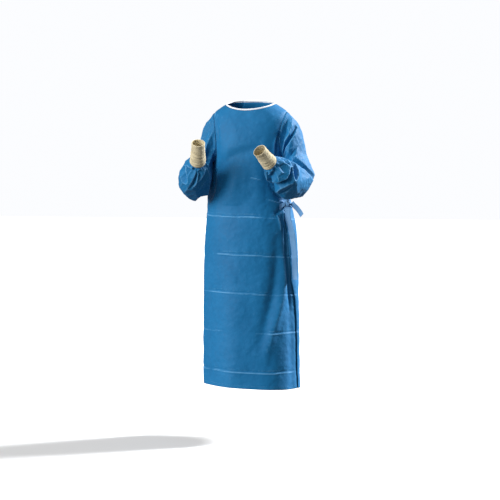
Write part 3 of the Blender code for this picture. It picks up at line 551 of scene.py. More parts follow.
# Fold lines as points of (angle, stage, millimetres off the smooth sleeve). Angle 90 is the inside of the
# bend and 180 the side away from the body. The cloth lies flat between the lines, and a single point lifts
# or sinks it there.
SLEEVE_LINES = {
    "left": (
        # Upper arm: a deep fold from the outside of the shoulder across to the front of the armhole
        ((162, 0.26, -4), (134, 0.36, -14), (106, 0.42, -21), (80, 0.41, -21), (50, 0.27, -12)),
        ((164, 0.16, 2), (136, 0.27, 4), (108, 0.33, 5), (82, 0.32, 5), (54, 0.20, 2)),
        ((140, 0.08, -4), (116, 0.13, -13), (98, 0.18, -18), (78, 0.18, -16), (60, 0.14, -8)),
        ((168, 0.36, 4), (138, 0.46, 6), (108, 0.52, 7), (82, 0.52, 7), (54, 0.40, 4)),
        ((118, 0.66, 3), (92, 0.68, 5), (68, 0.66, 2)),
        ((150, 0.66, -3), (124, 0.72, -8), (102, 0.80, -9), (84, 0.82, -12)),
        ((188, 0.30, 4), (176, 0.60, 2), (168, 0.80, -4)),
        ((60, 0.48, -10), (48, 0.62, -8), (40, 0.80, -6)),
        ((30, 0.30, 4),), ((24, 0.62, 3),), ((10, 0.85, 5),), ((356, 0.35, -4),), ((340, 0.65, 4),), ((322, 0.30, 4),),
        ((300, 0.55, -6), (292, 0.85, -3)), ((262, 0.35, 4), (256, 0.75, 6)), ((236, 0.25, -3), (226, 0.60, -8), (222, 0.90, -4)),
        ((206, 0.45, 5), (204, 0.85, 5)), ((318, 0.90, 4),),
        # The upper edge of the bag, which runs out to the pointed corner of the elbow
        ((112, 0.90, 3), (128, 0.88, 7), (150, 0.98, 11), (164, 1.16, 10), (182, 1.24, 11), (200, 1.30, 21)),
        # The dark flat band under that edge, then the bright ridge below it
        ((126, 1.15, -9), (146, 1.30, -12), (166, 1.34, -9), (186, 1.36, -3), (202, 1.39, 6)),
        ((138, 2.42, 2), (150, 2.28, 7), (158, 2.10, 9), (154, 1.85, 9), (156, 1.62, 8), (170, 1.54, 8), (188, 1.48, 11), (203, 1.45, 14)),
        # The outer edge of the bag and its lowest corner
        ((203, 1.45, 14), (206, 1.60, 2), (220, 1.74, -4), (236, 1.84, -6), (260, 1.84, -3), (282, 1.84, 9), (297, 1.93, 18), (308, 2.22, 12)),
        # The big lower facet: its upper edge, and the soft line between its light and dark halves
        ((308, 2.22, 12), (288, 2.36, 13), (270, 2.42, 13), (256, 2.39, 12), (243, 2.37, 12), (230, 2.28, 11), (222, 2.12, 9), (238, 1.98, 4), (250, 1.88, 0)),
        ((268, 2.12, 2),), ((205, 1.95, 0),), ((190, 1.75, -1),),
        # The dark fold above it
        ((194, 2.47, -12), (206, 2.46, -16), (224, 2.44, -19), (242, 2.45, -20), (262, 2.50, -20), (284, 2.54, -19), (310, 2.48, -18), (322, 2.30, -16)),
        # The facet in the middle: its bright right edge and its soft left edge
        ((160, 2.90, 2), (168, 2.84, 6), (184, 2.78, 8), (184, 2.66, 9), (188, 2.57, 10), (212, 2.55, 9), (236, 2.54, 9), (264, 2.61, 8), (290, 2.66, 8)),
        ((198, 2.88, 0), (226, 2.79, 6), (254, 2.76, 8), (290, 2.66, 8)),
        ((222, 2.67, 2),), ((196, 2.80, -6), (206, 2.84, -8), (214, 2.90, -5)),
        # Dark pockets and lit folds beside the cuff
        ((232, 2.92, -6), (250, 2.87, -13), (272, 2.84, -18), (290, 2.78, -18), (306, 2.68, -16), (318, 2.58, -14)),
        ((262, 2.95, 2), (286, 2.90, 5), (300, 2.86, 5)),
        ((300, 2.96, 2), (314, 2.90, 6), (318, 2.78, 9), (322, 2.70, 10), (330, 2.60, 6)),
        ((302, 2.91, -6), (308, 2.80, -7)), ((336, 2.92, 3), (338, 2.78, 7), (344, 2.66, 5)),
        ((328, 2.88, -4), (330, 2.76, -2)),
        # The deep pocket and the U of bright cloth round it
        ((138, 2.62, 3), (150, 2.57, 6), (172, 2.54, 7), (188, 2.49, 11), (202, 2.43, 12), (213, 2.34, 12), (218, 2.25, 12), (213, 2.17, 11), (198, 2.17, 11), (182, 2.22, 9), (168, 2.26, 7)),
        ((162, 2.40, -13), (178, 2.38, -20), (192, 2.34, -21), (206, 2.27, -15)),
        ((150, 2.70, -6), (164, 2.66, -9), (174, 2.60, -5)),
        # The inside of the bend and the side by the body
        ((120, 1.45, -7), (116, 1.75, -9), (122, 2.05, -6)), ((92, 1.20, -8), (90, 1.50, -12), (92, 1.80, -9)), ((64, 1.30, -3), (60, 1.70, -5)),
        ((132, 1.70, 2),), ((124, 2.30, 4), (118, 2.60, 4), (122, 2.84, 3)), ((96, 2.15, -4), (92, 2.50, -7), (98, 2.82, -5)),
        ((70, 2.10, 4), (68, 2.45, 4), (74, 2.80, 4)), ((44, 2.15, -3), (46, 2.50, -6), (50, 2.84, -5)), ((20, 1.30, 5), (16, 1.80, 5), (20, 2.20, 4), (24, 2.72, 4)),
        ((352, 1.55, -4), (356, 2.05, -6), (0, 2.45, -5), (4, 2.84, -4)), ((330, 1.20, 4), (332, 1.60, 6), (336, 2.05, 4)), ((38, 1.50, -3),),
        ((300, 1.25, -3), (306, 1.60, -4)), ((272, 1.20, 5), (276, 1.55, 6)), ((244, 1.25, -3), (240, 1.55, -2)), ((224, 1.35, 4),),
    ),
    "right": (
        # Upper arm
        ((128, 0.10, 2), (108, 0.16, -5), (112, 0.50, -9), (122, 0.90, -9)),
        ((90, 0.12, 3), (88, 0.45, 6), (94, 0.85, 5)),
        ((70, 0.14, -3), (70, 0.50, -9), (74, 0.85, -9)),
        ((48, 0.20, 3), (50, 0.60, 5), (56, 0.95, 4)), ((30, 0.40, -6), (34, 0.80, -7)), ((8, 0.30, 4), (10, 0.75, 4)),
        ((342, 0.45, -5), (340, 0.85, -3)), ((318, 0.30, 4), (312, 0.80, 5)), ((290, 0.25, -3), (286, 0.65, -7)), ((262, 0.35, 5), (252, 0.85, 5)),
        ((232, 0.25, -4), (222, 0.65, -8), (218, 0.95, -4)), ((200, 0.40, 6), (196, 0.90, 6)), ((174, 0.25, -2), (168, 0.70, -6)), ((144, 0.35, 5), (148, 0.85, 5)),
        # The outer edge of the bag, its lowest point and the notch beside it
        ((184, 1.40, 5), (196, 1.60, 5), (214, 1.80, 5), (234, 1.95, 6), (256, 1.92, 8), (278, 1.80, 9), (296, 1.74, 16), (304, 1.80, 11)),
        ((304, 1.80, 11), (314, 1.73, -2), (326, 1.66, 5), (340, 1.66, 18), (350, 1.90, 13), (354, 2.30, 8), (356, 2.60, 5), (358, 2.84, 3)),
        # The big light facet on the left and the ridges at its right edge
        ((286, 2.84, 3), (282, 2.72, 6), (278, 2.58, 7), (274, 2.42, 8), (268, 2.22, 9), (261, 2.04, 9), (256, 1.92, 8)),
        ((295, 2.86, -4), (292, 2.76, -10), (288, 2.62, -12), (284, 2.46, -9), (279, 2.32, -1)),
        ((302, 2.84, 3), (299, 2.70, 6), (296, 2.56, 7), (291, 2.42, 6), (284, 2.28, 5)),
        ((252, 2.30, 1),), ((312, 2.35, -3),), ((306, 2.10, 0),), ((330, 2.35, 1),), ((296, 2.10, 1),),
        # The dark pocket at the left edge
        ((222, 2.78, 4), (236, 2.74, 5), (252, 2.66, 6), (262, 2.54, 6), (258, 2.40, 5), (244, 2.34, 5), (226, 2.40, 5)),
        ((220, 2.62, -10), (232, 2.60, -17), (246, 2.54, -17), (250, 2.46, -10)),
        # The dark creases that run in to the cuff
        ((216, 2.84, -8), (228, 2.80, -13), (246, 2.85, -13), (264, 2.89, -11), (284, 2.93, -7)),
        ((206, 2.80, 3), (218, 2.88, 5), (238, 2.91, 5), (258, 2.94, 4)),
        ((204, 2.90, -5), (222, 2.94, -6), (240, 2.96, -5)),
        ((300, 2.93, 1), (304, 2.86, -6), (307, 2.76, -9), (309, 2.68, -4)),
        ((314, 2.66, 4), (322, 2.74, 7), (334, 2.82, 7), (344, 2.88, 5)),
        ((322, 2.92, -5), (334, 2.92, -13), (348, 2.90, -14), (362, 2.86, -7)),
        ((318, 2.84, 2),), ((330, 2.60, -4), (342, 2.68, -6)),
        # The inside of the bend, the top and the side by the body
        ((120, 1.45, -7), (116, 1.75, -9), (122, 2.05, -6)), ((92, 1.20, -8), (90, 1.50, -12), (92, 1.80, -9)), ((64, 1.30, -3), (60, 1.70, -5)),
        ((150, 1.30, 6), (154, 1.70, 7), (158, 2.10, 7), (160, 2.50, 5), (158, 2.80, 4)), ((136, 1.60, -4), (138, 2.05, -7), (140, 2.50, -6)),
        ((176, 1.70, -5), (180, 2.10, -6), (182, 2.50, -5), (178, 2.84, -5)), ((202, 2.10, 5), (200, 2.45, 6), (196, 2.72, 4)), ((212, 1.40, -2), (238, 1.60, -2)),
        ((118, 2.20, 4), (116, 2.55, 4), (120, 2.84, 3)), ((96, 2.15, -4), (94, 2.50, -6), (98, 2.82, -5)), ((70, 2.05, 4), (70, 2.45, 4), (74, 2.80, 4)),
        ((44, 2.10, -3), (46, 2.50, -6), (50, 2.84, -5)), ((22, 1.30, 8), (18, 1.80, 7), (20, 2.25, 4), (26, 2.72, 4)), ((2, 1.30, 8), (2, 1.55, 6), (6, 2.10, 2)),
        ((334, 1.25, 4), (338, 1.52, 3)), ((306, 1.25, -3), (312, 1.50, -3)), ((270, 1.20, 5), (274, 1.50, 5)), ((242, 1.20, 2),),
    ),
}
AROUND_SCALE, ALONG_SCALE = 0.00115, 0.15
SLEEVE_COLUMNS = 176
SLEEVE_STAGES = np.concatenate([np.linspace(0.0, 1.0, 61)[:-1], np.linspace(1.0, 3.0, 150)])
GATHERS = 14


def armhole_edge(side, columns):
    """The armhole's edge, from the underarm up the front to the shoulder and down the back."""
    corners = 20
    turn = np.pi * np.arange(corners) / 10
    angle = side * (90.0 - 33.0 * np.sin(turn)) % 360.0
    lift = np.where((angle > 180.0) & (angle < 270.0), wrap_lift(angle), 0.0)
    place = np.linspace(0, corners, columns, endpoint=False)
    fine_turn = np.pi * place / 10
    fine_level = UNDERARM + (SHOULDER_TIP - UNDERARM) * (1 - np.cos(fine_turn)) / 2
    fine_angle = side * (90.0 - 33.0 * np.sin(fine_turn)) % 360.0
    fine_lift = np.interp(place, np.arange(corners + 1), np.append(lift, lift[0]))
    return gown_point(fine_level, fine_angle, fine_lift)


def arm_bend(arm):
    """The arm's bend: directions of its two halves, the turn between them, its middle and its end."""
    start, corner, wrist = (np.array(point) for point in arm[1:4])
    down, forward = unit(corner - start), unit(wrist - corner)
    turn = math.acos(float(down @ forward))
    middle = corner + unit(forward - down) * BEND_RADIUS / math.cos(turn / 2)
    return down, forward, turn, middle, corner + forward * BEND_RADIUS * math.tan(turn / 2)


def sleeve_middle(arm, stage):
    """The middle line at each stage, its direction there and the way to the inside of the bend."""
    down, forward, turn, centre, bend_end = arm_bend(arm)
    inward = unit(forward - down * float(down @ forward))
    share = (np.clip(stage - 1.0, 0.0, 1.0) * turn)[:, None]
    along = down * np.cos(share) + inward * np.sin(share)
    inside = inward * np.cos(share) - down * np.sin(share)
    past = (stage - 2.0)[:, None]
    middle = np.where(past > 0, bend_end + (np.array(arm[3]) - bend_end) * past, centre - inside * BEND_RADIUS)
    return middle, along, inside


def curve_between(t, first, first_way, last, last_way):
    """Points of a smooth curve that leaves one point in its direction and reaches the other in its own."""
    return (
        (2 * t**3 - 3 * t**2 + 1) * first
        + (t**3 - 2 * t**2 + t) * first_way
        + (3 * t**2 - 2 * t**3) * last
        + (t**3 - t**2) * last_way
    )


def smooth_sleeve(arm):
    """The sleeve before its folds, a ring of points for each stage."""
    start = armhole_edge(arm[0], SLEEVE_COLUMNS)
    height = start[:, 2] - start[:, 2].mean()
    high = height / height.max()
    way = unit(np.stack([np.full(len(start), float(arm[0])), np.zeros(len(start)), -0.35 - 0.20 * high], axis=-1))
    lower = SLEEVE_STAGES[SLEEVE_STAGES >= 1.0]
    middle, along, inside = sleeve_middle(arm, lower)
    inner = np.cross(along, inside) * arm[0]
    sizes = between_rows([row[1:] for row in SLEEVE_ROWS], [row[0] for row in SLEEVE_ROWS], lower)
    across, deep_in, deep_out = sizes.T[:, :, None]
    turn = 2 * np.pi * np.arange(SLEEVE_COLUMNS)[None, :] / SLEEVE_COLUMNS
    deep = np.where(np.sin(turn) > 0, deep_in, deep_out)
    spoke = inner[:, None] * (np.cos(turn) * across)[..., None] + inside[:, None] * (np.sin(turn) * deep)[..., None]
    rings = middle[:, None] + spoke
    start = start + way * SLEEVE_SEAM_GAP
    reach = np.linalg.norm(rings[0] - start, axis=1)[:, None]
    t = SLEEVE_STAGES[SLEEVE_STAGES < 1.0][:, None, None]
    return np.concatenate([curve_between(t, start, way * reach, rings[0], along[0] * reach), rings])


def flat_facets(smooth, lines):
    """The sleeve as flat facets that meet along its fold lines."""
    outward = unit(smooth - smooth.mean(axis=1, keepdims=True))
    ends = [((angle, stage, 0.0),) for angle in range(0, 360, 20) for stage in (0.0, 3.0)]
    places, heights, joins = [], [], []
    for turn in (-360.0, 0.0, 360.0):
        for line in (*lines, *ends):
            for number, (angle, stage, height) in enumerate(line):
                if number:
                    joins.append((len(places) - 1, len(places)))
                places.append(Vector(((angle + turn) * AROUND_SCALE, stage * ALONG_SCALE)))
                heights.append(height / 1000)
    corners, _, faces, sources = geometry.delaunay_2d_cdt(places, joins, [], 0, 1e-4)[:4]
    corners, known, points = np.array(corners), np.array(places), []
    for corner, source in zip(corners, sources):
        nearest = [source[0]] if source else np.argsort(np.linalg.norm(known - corner, axis=1))[:2]
        row = round(np.interp(corner[1] / ALONG_SCALE, SLEEVE_STAGES, range(len(SLEEVE_STAGES))))
        column = round(corner[0] / AROUND_SCALE / 360 * SLEEVE_COLUMNS) % SLEEVE_COLUMNS
        points.append(smooth[row, column] + outward[row, column] * np.mean([heights[place] for place in nearest]))
    points = np.array(points)
    x, y = np.meshgrid(np.arange(SLEEVE_COLUMNS) * 360 / SLEEVE_COLUMNS * AROUND_SCALE, SLEEVE_STAGES * ALONG_SCALE)
    flat = smooth.copy()
    for face in faces:
        (ax, ay), (bx, by), (cx, cy) = corners[list(face)]
        area = (bx - ax) * (cy - ay) - (by - ay) * (cx - ax)
        if max(ax, bx, cx) < 0 or min(ax, bx, cx) > 360 * AROUND_SCALE or abs(area) < 1e-10:
            continue
        second = ((x - ax) * (cy - ay) - (y - ay) * (cx - ax)) / area
        third = ((bx - ax) * (y - ay) - (by - ay) * (x - ax)) / area
        within = (second >= -1e-6) & (third >= -1e-6) & (second + third <= 1 + 1e-6)
        weights = np.stack([1 - second - third, second, third], axis=-1)[within]
        flat[within] = weights @ points[list(face)]
    return flat


def soften(grid, times):
    """Rounds the folds of a tube of cloth by about the distance between its points."""
    for _ in range(times):
        grid = 0.5 * grid + 0.25 * (np.roll(grid, 1, axis=1) + np.roll(grid, -1, axis=1))
        grid[1:-1] = 0.5 * grid[1:-1] + 0.25 * (grid[:-2] + grid[2:])
    return grid


def make_sleeve(name, arm, lines, seed):
    smooth = smooth_sleeve(arm)
    stage = SLEEVE_STAGES[:, None]
    angle = 360.0 * np.arange(SLEEVE_COLUMNS)[None, :] / SLEEVE_COLUMNS
    folded = soften(flat_facets(smooth, lines), 1)
    held = fade(stage, 0.0, 0.10) * (1 - fade(stage, 2.95, 3.0))
    grid = smooth + (folded - smooth) * (0.95 * held)[..., None]
    wander = 14 * np.sin(np.radians(angle * 2 + 40)) + 10 * np.sin(stage * 5.0)
    uneven = 0.60 + 0.40 * np.sin(np.radians(3 * angle + 57))
    gather = 1 - 2 * np.abs(np.sin(np.radians(GATHERS * angle / 2 + wander)))
    gathered = np.interp(stage, (2.5, 2.84, 2.96, 3.0), (0.0, 0.6, 1.0, 0.15))
    relief = 0.0028 * gathered * uneven * gather
    relief = relief + held * (crumple(smooth, 0.034, 0.0016, seed) + crumple(smooth, 0.014, 0.0005, seed + 3))
    relief = relief + held * rumple(smooth, 0.016, 0.0007, seed + 5)
    grid = grid + unit(smooth - smooth.mean(axis=1, keepdims=True)) * relief[..., None]
    if arm[0] > 0:
        grid = grid[:, ::-1]
    sleeve = cloth_mesh(name + "_cloth", grid, gown_blue, tube=True)
    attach(sleeve, "root")
    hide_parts(name)
    return sleeve


sleeve_left = make_sleeve("sleeve_left", ARMS["left"], SLEEVE_LINES["left"], 11)
sleeve_right = make_sleeve("sleeve_right", ARMS["right"], SLEEVE_LINES["right"], 12)

# Cuffs
# Each is a tube of cream rib knit, sewn to the gathered end of its sleeve. It is soft and stretchy, so it
# sits in uneven rings of wrinkles between the sleeve and the hand.

KNIT_WALL = 0.0018
RIBS = 52


def make_knit():
    """Rib knit: upright ribs and the small loops across them."""
    material, shader, shade = start_material("rib knit")
    place = shade.node("TexCoord", output=3)
    patches = shade.node("TexNoise", {"Vector": place, "Scale": 38.0, "Detail": 4.0, "Roughness": 0.6})
    lint = shade.node("TexNoise", {"Vector": place, "Scale": 1400.0, "Detail": 3.0, "Roughness": 0.7})
    cloth = shade.node("TexCoord", output=2)
    loops = shade.node("TexWave", {"Vector": cloth, "Scale": 260.0, "Distortion": 0.6, "Detail": 1.0}, output=1, bands_direction="Y")
    share = patches * 0.7 + lint * 0.3
    share = shade.node("MapRange", {0: share, 1: 0.35, 2: 0.65, 3: 0.0, 4: 1.0})
    colour = share.mix((0.56, 0.48, 0.30, 1.0), (0.88, 0.78, 0.54, 1.0))
    roughness = 0.82 + 0.1 * lint
    finish_material(shader, shade, colour, roughness, ((loops, 0.0004), (lint, 0.0002)))
    shader.inputs["Specular IOR Level"].default_value = 0.2
    shader.inputs["Sheen Weight"].default_value = 0.3
    shader.inputs["Sheen Roughness"].default_value = 0.5
    return material


knit = make_knit()

# The rings of wrinkles: share of the length, half width, depth, and the turn at which each is deepest
CUFF_RINGS = (
    (0.06, 0.024, 0.0016, 250), (0.13, 0.022, -0.0026, 40), (0.20, 0.020, 0.0018, 150), (0.27, 0.020, -0.0026, 300),
    (0.34, 0.022, 0.0018, 80), (0.42, 0.024, -0.0022, 190), (0.51, 0.026, 0.0016, 330), (0.60, 0.026, -0.0018, 20),
    (0.70, 0.030, 0.0012, 100), (0.82, 0.034, -0.0010, 220),
)


def make_cuff(name, arm):
    wrist, hand = np.array(arm[3]), np.array(arm[4])
    sleeve_way = sleeve_middle(arm, np.array([3.0]))[1][0]
    length = float(np.linalg.norm(hand - wrist))
    columns = RIBS * 4
    turn = 2 * np.pi * np.arange(columns) / columns
    grid = []
    for t in np.linspace(0.0, 1.0, 64):
        middle = (
            (2 * t**3 - 3 * t**2 + 1) * (wrist + sleeve_way * 0.0007)
            + (t**3 - 2 * t**2 + t) * sleeve_way * length * 0.7
            + (3 * t**2 - 2 * t**3) * hand
            + (t**3 - t**2) * unit(hand - wrist) * length
        )
        along = unit(sleeve_way * (1 - fade(t, 0.0, 0.5)) + unit(hand - wrist) * fade(t, 0.0, 0.5))
        side_way = unit(np.cross(along, (0.0, 0.0, 1.0)))
        up_way = np.cross(side_way, along)
        radius = 0.0325 - 0.005 * fade(t, 0.0, 0.8)
        out = np.full(columns, radius)
        for place, reach, depth, deepest in CUFF_RINGS:
            wander = place + 0.035 * np.sin(turn + math.radians(deepest * 2.3))
            strength = 0.55 + 0.45 * np.cos(turn - math.radians(deepest))
            out = out + depth * strength * np.exp(-(((t - wander) / reach) ** 2))
        out = out + 0.0005 * np.cos(RIBS * turn)
        grid.append(middle + (side_way * np.cos(turn)[:, None] + up_way * np.sin(turn)[:, None]) * out[:, None])
    cuff = cloth_mesh(name + "_knit", np.array(grid), knit, wall=KNIT_WALL, tube=True)
    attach(cuff, "root")
    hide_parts(name)


make_cuff("cuff_left", ARMS["left"])
make_cuff("cuff_right", ARMS["right"])

# Neck binding
# One white tape, folded over the raw edge of the neck and sewn through, from one back edge to the other.


def make_tape():
    material, shader, shade = start_material("binding tape")
    place = shade.node("TexCoord", output=3)
    threads = shade.node("TexNoise", {"Vector": place, "Scale": 1100.0, "Detail": 3.0, "Roughness": 0.6})
    patches = shade.node("TexNoise", {"Vector": place, "Scale": 25.0, "Detail": 3.0})
    colour = patches.mix((0.72, 0.76, 0.84, 1.0), (0.84, 0.87, 0.92, 1.0))
    roughness = 0.66 + 0.1 * patches
    finish_material(shader, shade, colour, roughness, ((threads, 0.0002), (patches, 0.0005)))
    shader.inputs["Sheen Weight"].default_value = 0.15
    return material


tape = make_tape()
binding_angles = np.linspace(200.0, 164.0 - 360.0, 460)
binding_lift = WRAP_LIFT * (1 - fade(binding_angles + 360.0, 226.0, 262.0))
neck_edge = gown_point(NECK, binding_angles, binding_lift)
neck_up = unit(neck_edge - gown_point(NECK - 0.1, binding_angles, binding_lift))
neck_out = body_outward(NECK, binding_angles)
binding_grid = []
for share in np.linspace(0.0, 1.0, 9):
    bulge = 0.0007 * math.sin(math.pi * share) + 0.0002
    height = 0.0010 + 0.0068 * share
    binding_grid.append((neck_edge + neck_up * height + neck_out * bulge)[::-1])
binding = cloth_mesh("neck_binding_tape", np.array(binding_grid), tape, wall=0.0022)
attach(binding, "root")
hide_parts("neck_binding")

# Neck tab
# A strip of the cloth that closes the neck at the back. It is sewn to the outer back and pressed onto the
# inner back, hook side down.

# The ties, knot and tab are the gown's own cloth, painted lighter here: painted light that stands in for the strong
# side light falling on the ties.
tie_blue_painted_lit = make_nonwoven("tie cloth painted lighter", (0.100, 0.260, 0.500), (0.160, 0.350, 0.620), 3)


def end_ring_of(level):
    return np.interp(level, WRAP_EDGES[:, 0], WRAP_EDGES[:, 1])


tab_levels = np.linspace(11.35, 12.55, 24)
tab_angles = np.linspace(150.0, 186.0, 70)
levels, angles = np.meshgrid(tab_levels, tab_angles, indexing="ij")
on_outer = fade(angles, end_ring_of(levels) - 9.0, end_ring_of(levels) - 2.0)
neck_tab = cloth_mesh("neck_tab_strip", gown_point(levels, angles, 0.0026 + WRAP_LIFT * on_outer), tie_blue_painted_lit)
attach(neck_tab, "root")
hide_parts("neck_tab")

# Waist ties, their knot and the two free ends
# Two flat ties of folded and stitched cloth, one sewn to the front panel and one to the flap's edge. They
# are knotted at the left of the waist, a short end standing off and a long end hanging down.

TIE_WIDTH = 0.024
KNOT_ANGLE, KNOT_HEIGHT, KNOT_LIFT = 69.0, -0.431, 0.017
TIES = {
    # angle, height, lift off the cloth
    "waist_tie_front": ((55.0, -0.446, 0.0046), (58.5, -0.443, 0.0056), (61.0, -0.439, 0.0090), (63.8, -0.435, 0.0140)),
    "waist_tie_flap": ((92.0, -0.441, 0.0104), (86.0, -0.440, 0.0108), (80.0, -0.437, 0.0125), (73.9, -0.434, 0.0150)),
}
LONG_END = (
    # angle, height, lift, twist
    (67.0, -0.444, 0.0175, 30.0),
    (65.0, -0.470, 0.0190, 64.0),
    (64.6, -0.520, 0.0195, 72.0),
    (65.2, -0.580, 0.0185, 60.0),
    (66.6, -0.640, 0.0200, 76.0),
    (67.2, -0.695, 0.0185, 66.0),
    (67.0, -0.730, 0.0185, 74.0),
    (66.6, -0.748, 0.0200, 82.0),
    (66.0, -0.758, 0.0240, 86.0),
)


def ribbon_grid(middles, halves, cross=9):
    """A tie's points across its width at each point of its middle line."""
    shares = np.linspace(-1.0, 1.0, cross)
    return np.stack([middles + halves * share for share in shares])


def add_tie(name, grid):
    tie = cloth_mesh(name + "_strip", grid, tie_blue_painted_lit, wall=0.0012)
    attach(tie, "root")
    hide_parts(name)
    return tie


for name, points in TIES.items():
    fine = between_rows(points, range(len(points)), np.linspace(0, len(points) - 1, 40))
    middles = gown_point(level_at(fine[:, 1]), fine[:, 0], fine[:, 2])
    spread = np.linspace(1.0, 0.65, 40) * TIE_WIDTH / 2
    grid = ribbon_grid(middles, np.stack([np.zeros(40), np.zeros(40), spread], axis=-1))
    length = float(np.linalg.norm(np.diff(middles, axis=0), axis=1).sum())
    add_tie(name, grid)

fine = between_rows(LONG_END, range(len(LONG_END)), np.linspace(0, len(LONG_END) - 1, 120))
level = level_at(fine[:, 1])
outward = body_outward(level, fine[:, 0])
sideways = unit(np.cross((0.0, 0.0, 1.0), outward))
twist = np.radians(fine[:, 3])[:, None]
middles = gown_point(level, fine[:, 0], fine[:, 2])
halves = (sideways * np.cos(twist) + outward * np.sin(twist)) * TIE_WIDTH / 2
add_tie("tie_end_long", ribbon_grid(middles, halves))

knot_middle = gown_point(level_at(KNOT_HEIGHT), KNOT_ANGLE, KNOT_LIFT)
knot_outward = body_outward(level_at(KNOT_HEIGHT), KNOT_ANGLE)
knot_sideways = unit(np.cross((0.0, 0.0, 1.0), knot_outward))
knot_upward = np.cross(knot_outward, knot_sideways)
start = knot_middle + np.array((0.0172, 0.003, -0.001))
steps = np.array(((0, 0, 0), (0.008, 0.000, -0.009), (0.014, 0.003, -0.014), (0.014, 0.002, -0.018), (0.008, 0.000, -0.014)))
points = start + np.cumsum(steps, axis=0)
middles = between_rows(points, range(len(points)), np.linspace(0, len(points) - 1, 60))
halves = np.repeat(unit(np.array([(0.55, -0.35, 0.55)])) * TIE_WIDTH / 2, 60, axis=0)
add_tie("tie_end_short", ribbon_grid(middles, halves))

# Bands of the knot: tilt from upright, turn to the side, size, width
KNOT_BANDS = ((8, 74, 1.02, 0.016), (38, 12, 0.96, 0.015), (-42, -8, 0.90, 0.015), (84, 28, 0.84, 0.014))
KNOT_SIZE = np.array((0.0105, 0.0135, 0.0160))


def knot_band(tilt, side_turn, size, width):
    """One turn of the tie round the knot, creased along its middle and pulled narrower on two sides."""
    tilt, side_turn = math.radians(tilt), math.radians(side_turn)
    axis = np.array((math.sin(side_turn) * math.cos(tilt), math.cos(side_turn) * math.cos(tilt), math.sin(tilt)))
    first = unit(np.cross(axis, (1.0, 0.2, 0.1)))
    second = np.cross(axis, first)
    turn = np.linspace(0, 2 * np.pi, 72, endpoint=False)[:, None]
    spoke = first * np.cos(turn) + second * np.sin(turn)
    rows = []
    for share in np.linspace(-1.0, 1.0, 11):
        narrow = 0.72 + 0.28 * np.cos(2 * turn + 1.0)
        crease = 0.0014 * (1 - abs(share)) + 0.0007 * math.cos(3 * math.pi * share)
        local = (size * spoke) * KNOT_SIZE + axis * share * width / 2 * narrow + spoke * crease
        rows.append(knot_middle + local[:, :1] * knot_outward + local[:, 1:2] * knot_sideways + local[:, 2:] * knot_upward)
    return np.array(rows)[::-1]


def joined(name, pieces):
    """Several meshes of one material made into one piece."""
    with bpy.context.temp_override(active_object=pieces[0], object=pieces[0], selected_editable_objects=pieces):
        bpy.ops.object.join()
    pieces[0].name = name
    return pieces[0]


knot = joined("waist_knot_folds", [cloth_mesh("band", knot_band(*band), tie_blue_painted_lit, 0.0010, True) for band in KNOT_BANDS])
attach(knot, "root")
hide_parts("waist_knot")

# Seam stitching
# Short even stitches of light blue thread hold the shoulder, side and armhole seams, the hem, the turned edge
# of the outer back, the neck binding, the tab and the cuffs.

thread, shader, shade = start_material("thread")
twist = shade.node("TexNoise", {"Vector": shade.node("TexCoord", output=3), "Scale": 900.0, "Detail": 2.0})
finish_material(shader, shade, twist.mix((0.10, 0.30, 0.55, 1.0), (0.22, 0.46, 0.72, 1.0)), 0.6 + 0.1 * twist, ((twist, 0.0001),))
STITCH_LIFT = 0.0007


def stitch_nodes():
    """Geometry nodes that lay a short rounded stitch along a line again and again, at even distances."""
    tree = bpy.data.node_groups.new("even stitches", "GeometryNodeTree")
    for name, kind, value in (
        ("Lines", "Geometry", None),
        ("Pitch", "Float", 0.0038),
        ("Length", "Float", 0.0021),
        ("Thickness", "Float", 0.0006),
        ("Thread", "Material", None),
    ):
        socket = tree.interface.new_socket(name, in_out="INPUT", socket_type="NodeSocket" + kind)
        if value:
            socket.default_value = value
    tree.interface.new_socket("Stitches", in_out="OUTPUT", socket_type="NodeSocketGeometry")
    kinds = {
        "given": "NodeGroupInput", "line": "GeometryNodeMeshToCurve", "points": "GeometryNodeResampleCurve",
        "ball": "GeometryNodeMeshUVSphere", "size": "ShaderNodeCombineXYZ", "tangent": "GeometryNodeInputTangent",
        "turn": "FunctionNodeAlignRotationToVector", "place": "GeometryNodeInstanceOnPoints",
        "real": "GeometryNodeRealizeInstances", "paint": "GeometryNodeSetMaterial", "result": "NodeGroupOutput",
    }
    nodes = {name: tree.nodes.new(kind) for name, kind in kinds.items()}
    nodes["points"].mode, nodes["turn"].axis = "LENGTH", "Z"
    for name, value in (("Segments", 6), ("Rings", 4), ("Radius", 0.5)):
        nodes["ball"].inputs[name].default_value = value
    for source, output, target, name in (
        ("given", "Lines", "line", "Mesh"), ("line", "Curve", "points", "Curve"), ("given", "Pitch", "points", "Length"),
        ("given", "Thickness", "size", "X"), ("given", "Thickness", "size", "Y"), ("given", "Length", "size", "Z"),
        ("tangent", "Tangent", "turn", "Vector"), ("points", "Curve", "place", "Points"), ("ball", "Mesh", "place", "Instance"),
        ("turn", "Rotation", "place", "Rotation"), ("size", "Vector", "place", "Scale"), ("place", "Instances", "real", "Geometry"),
        ("real", "Geometry", "paint", "Geometry"), ("given", "Thread", "paint", "Material"), ("paint", "Geometry", "result", "Stitches"),
    ):
        tree.links.new(nodes[source].outputs[output], nodes[target].inputs[name])
    return tree


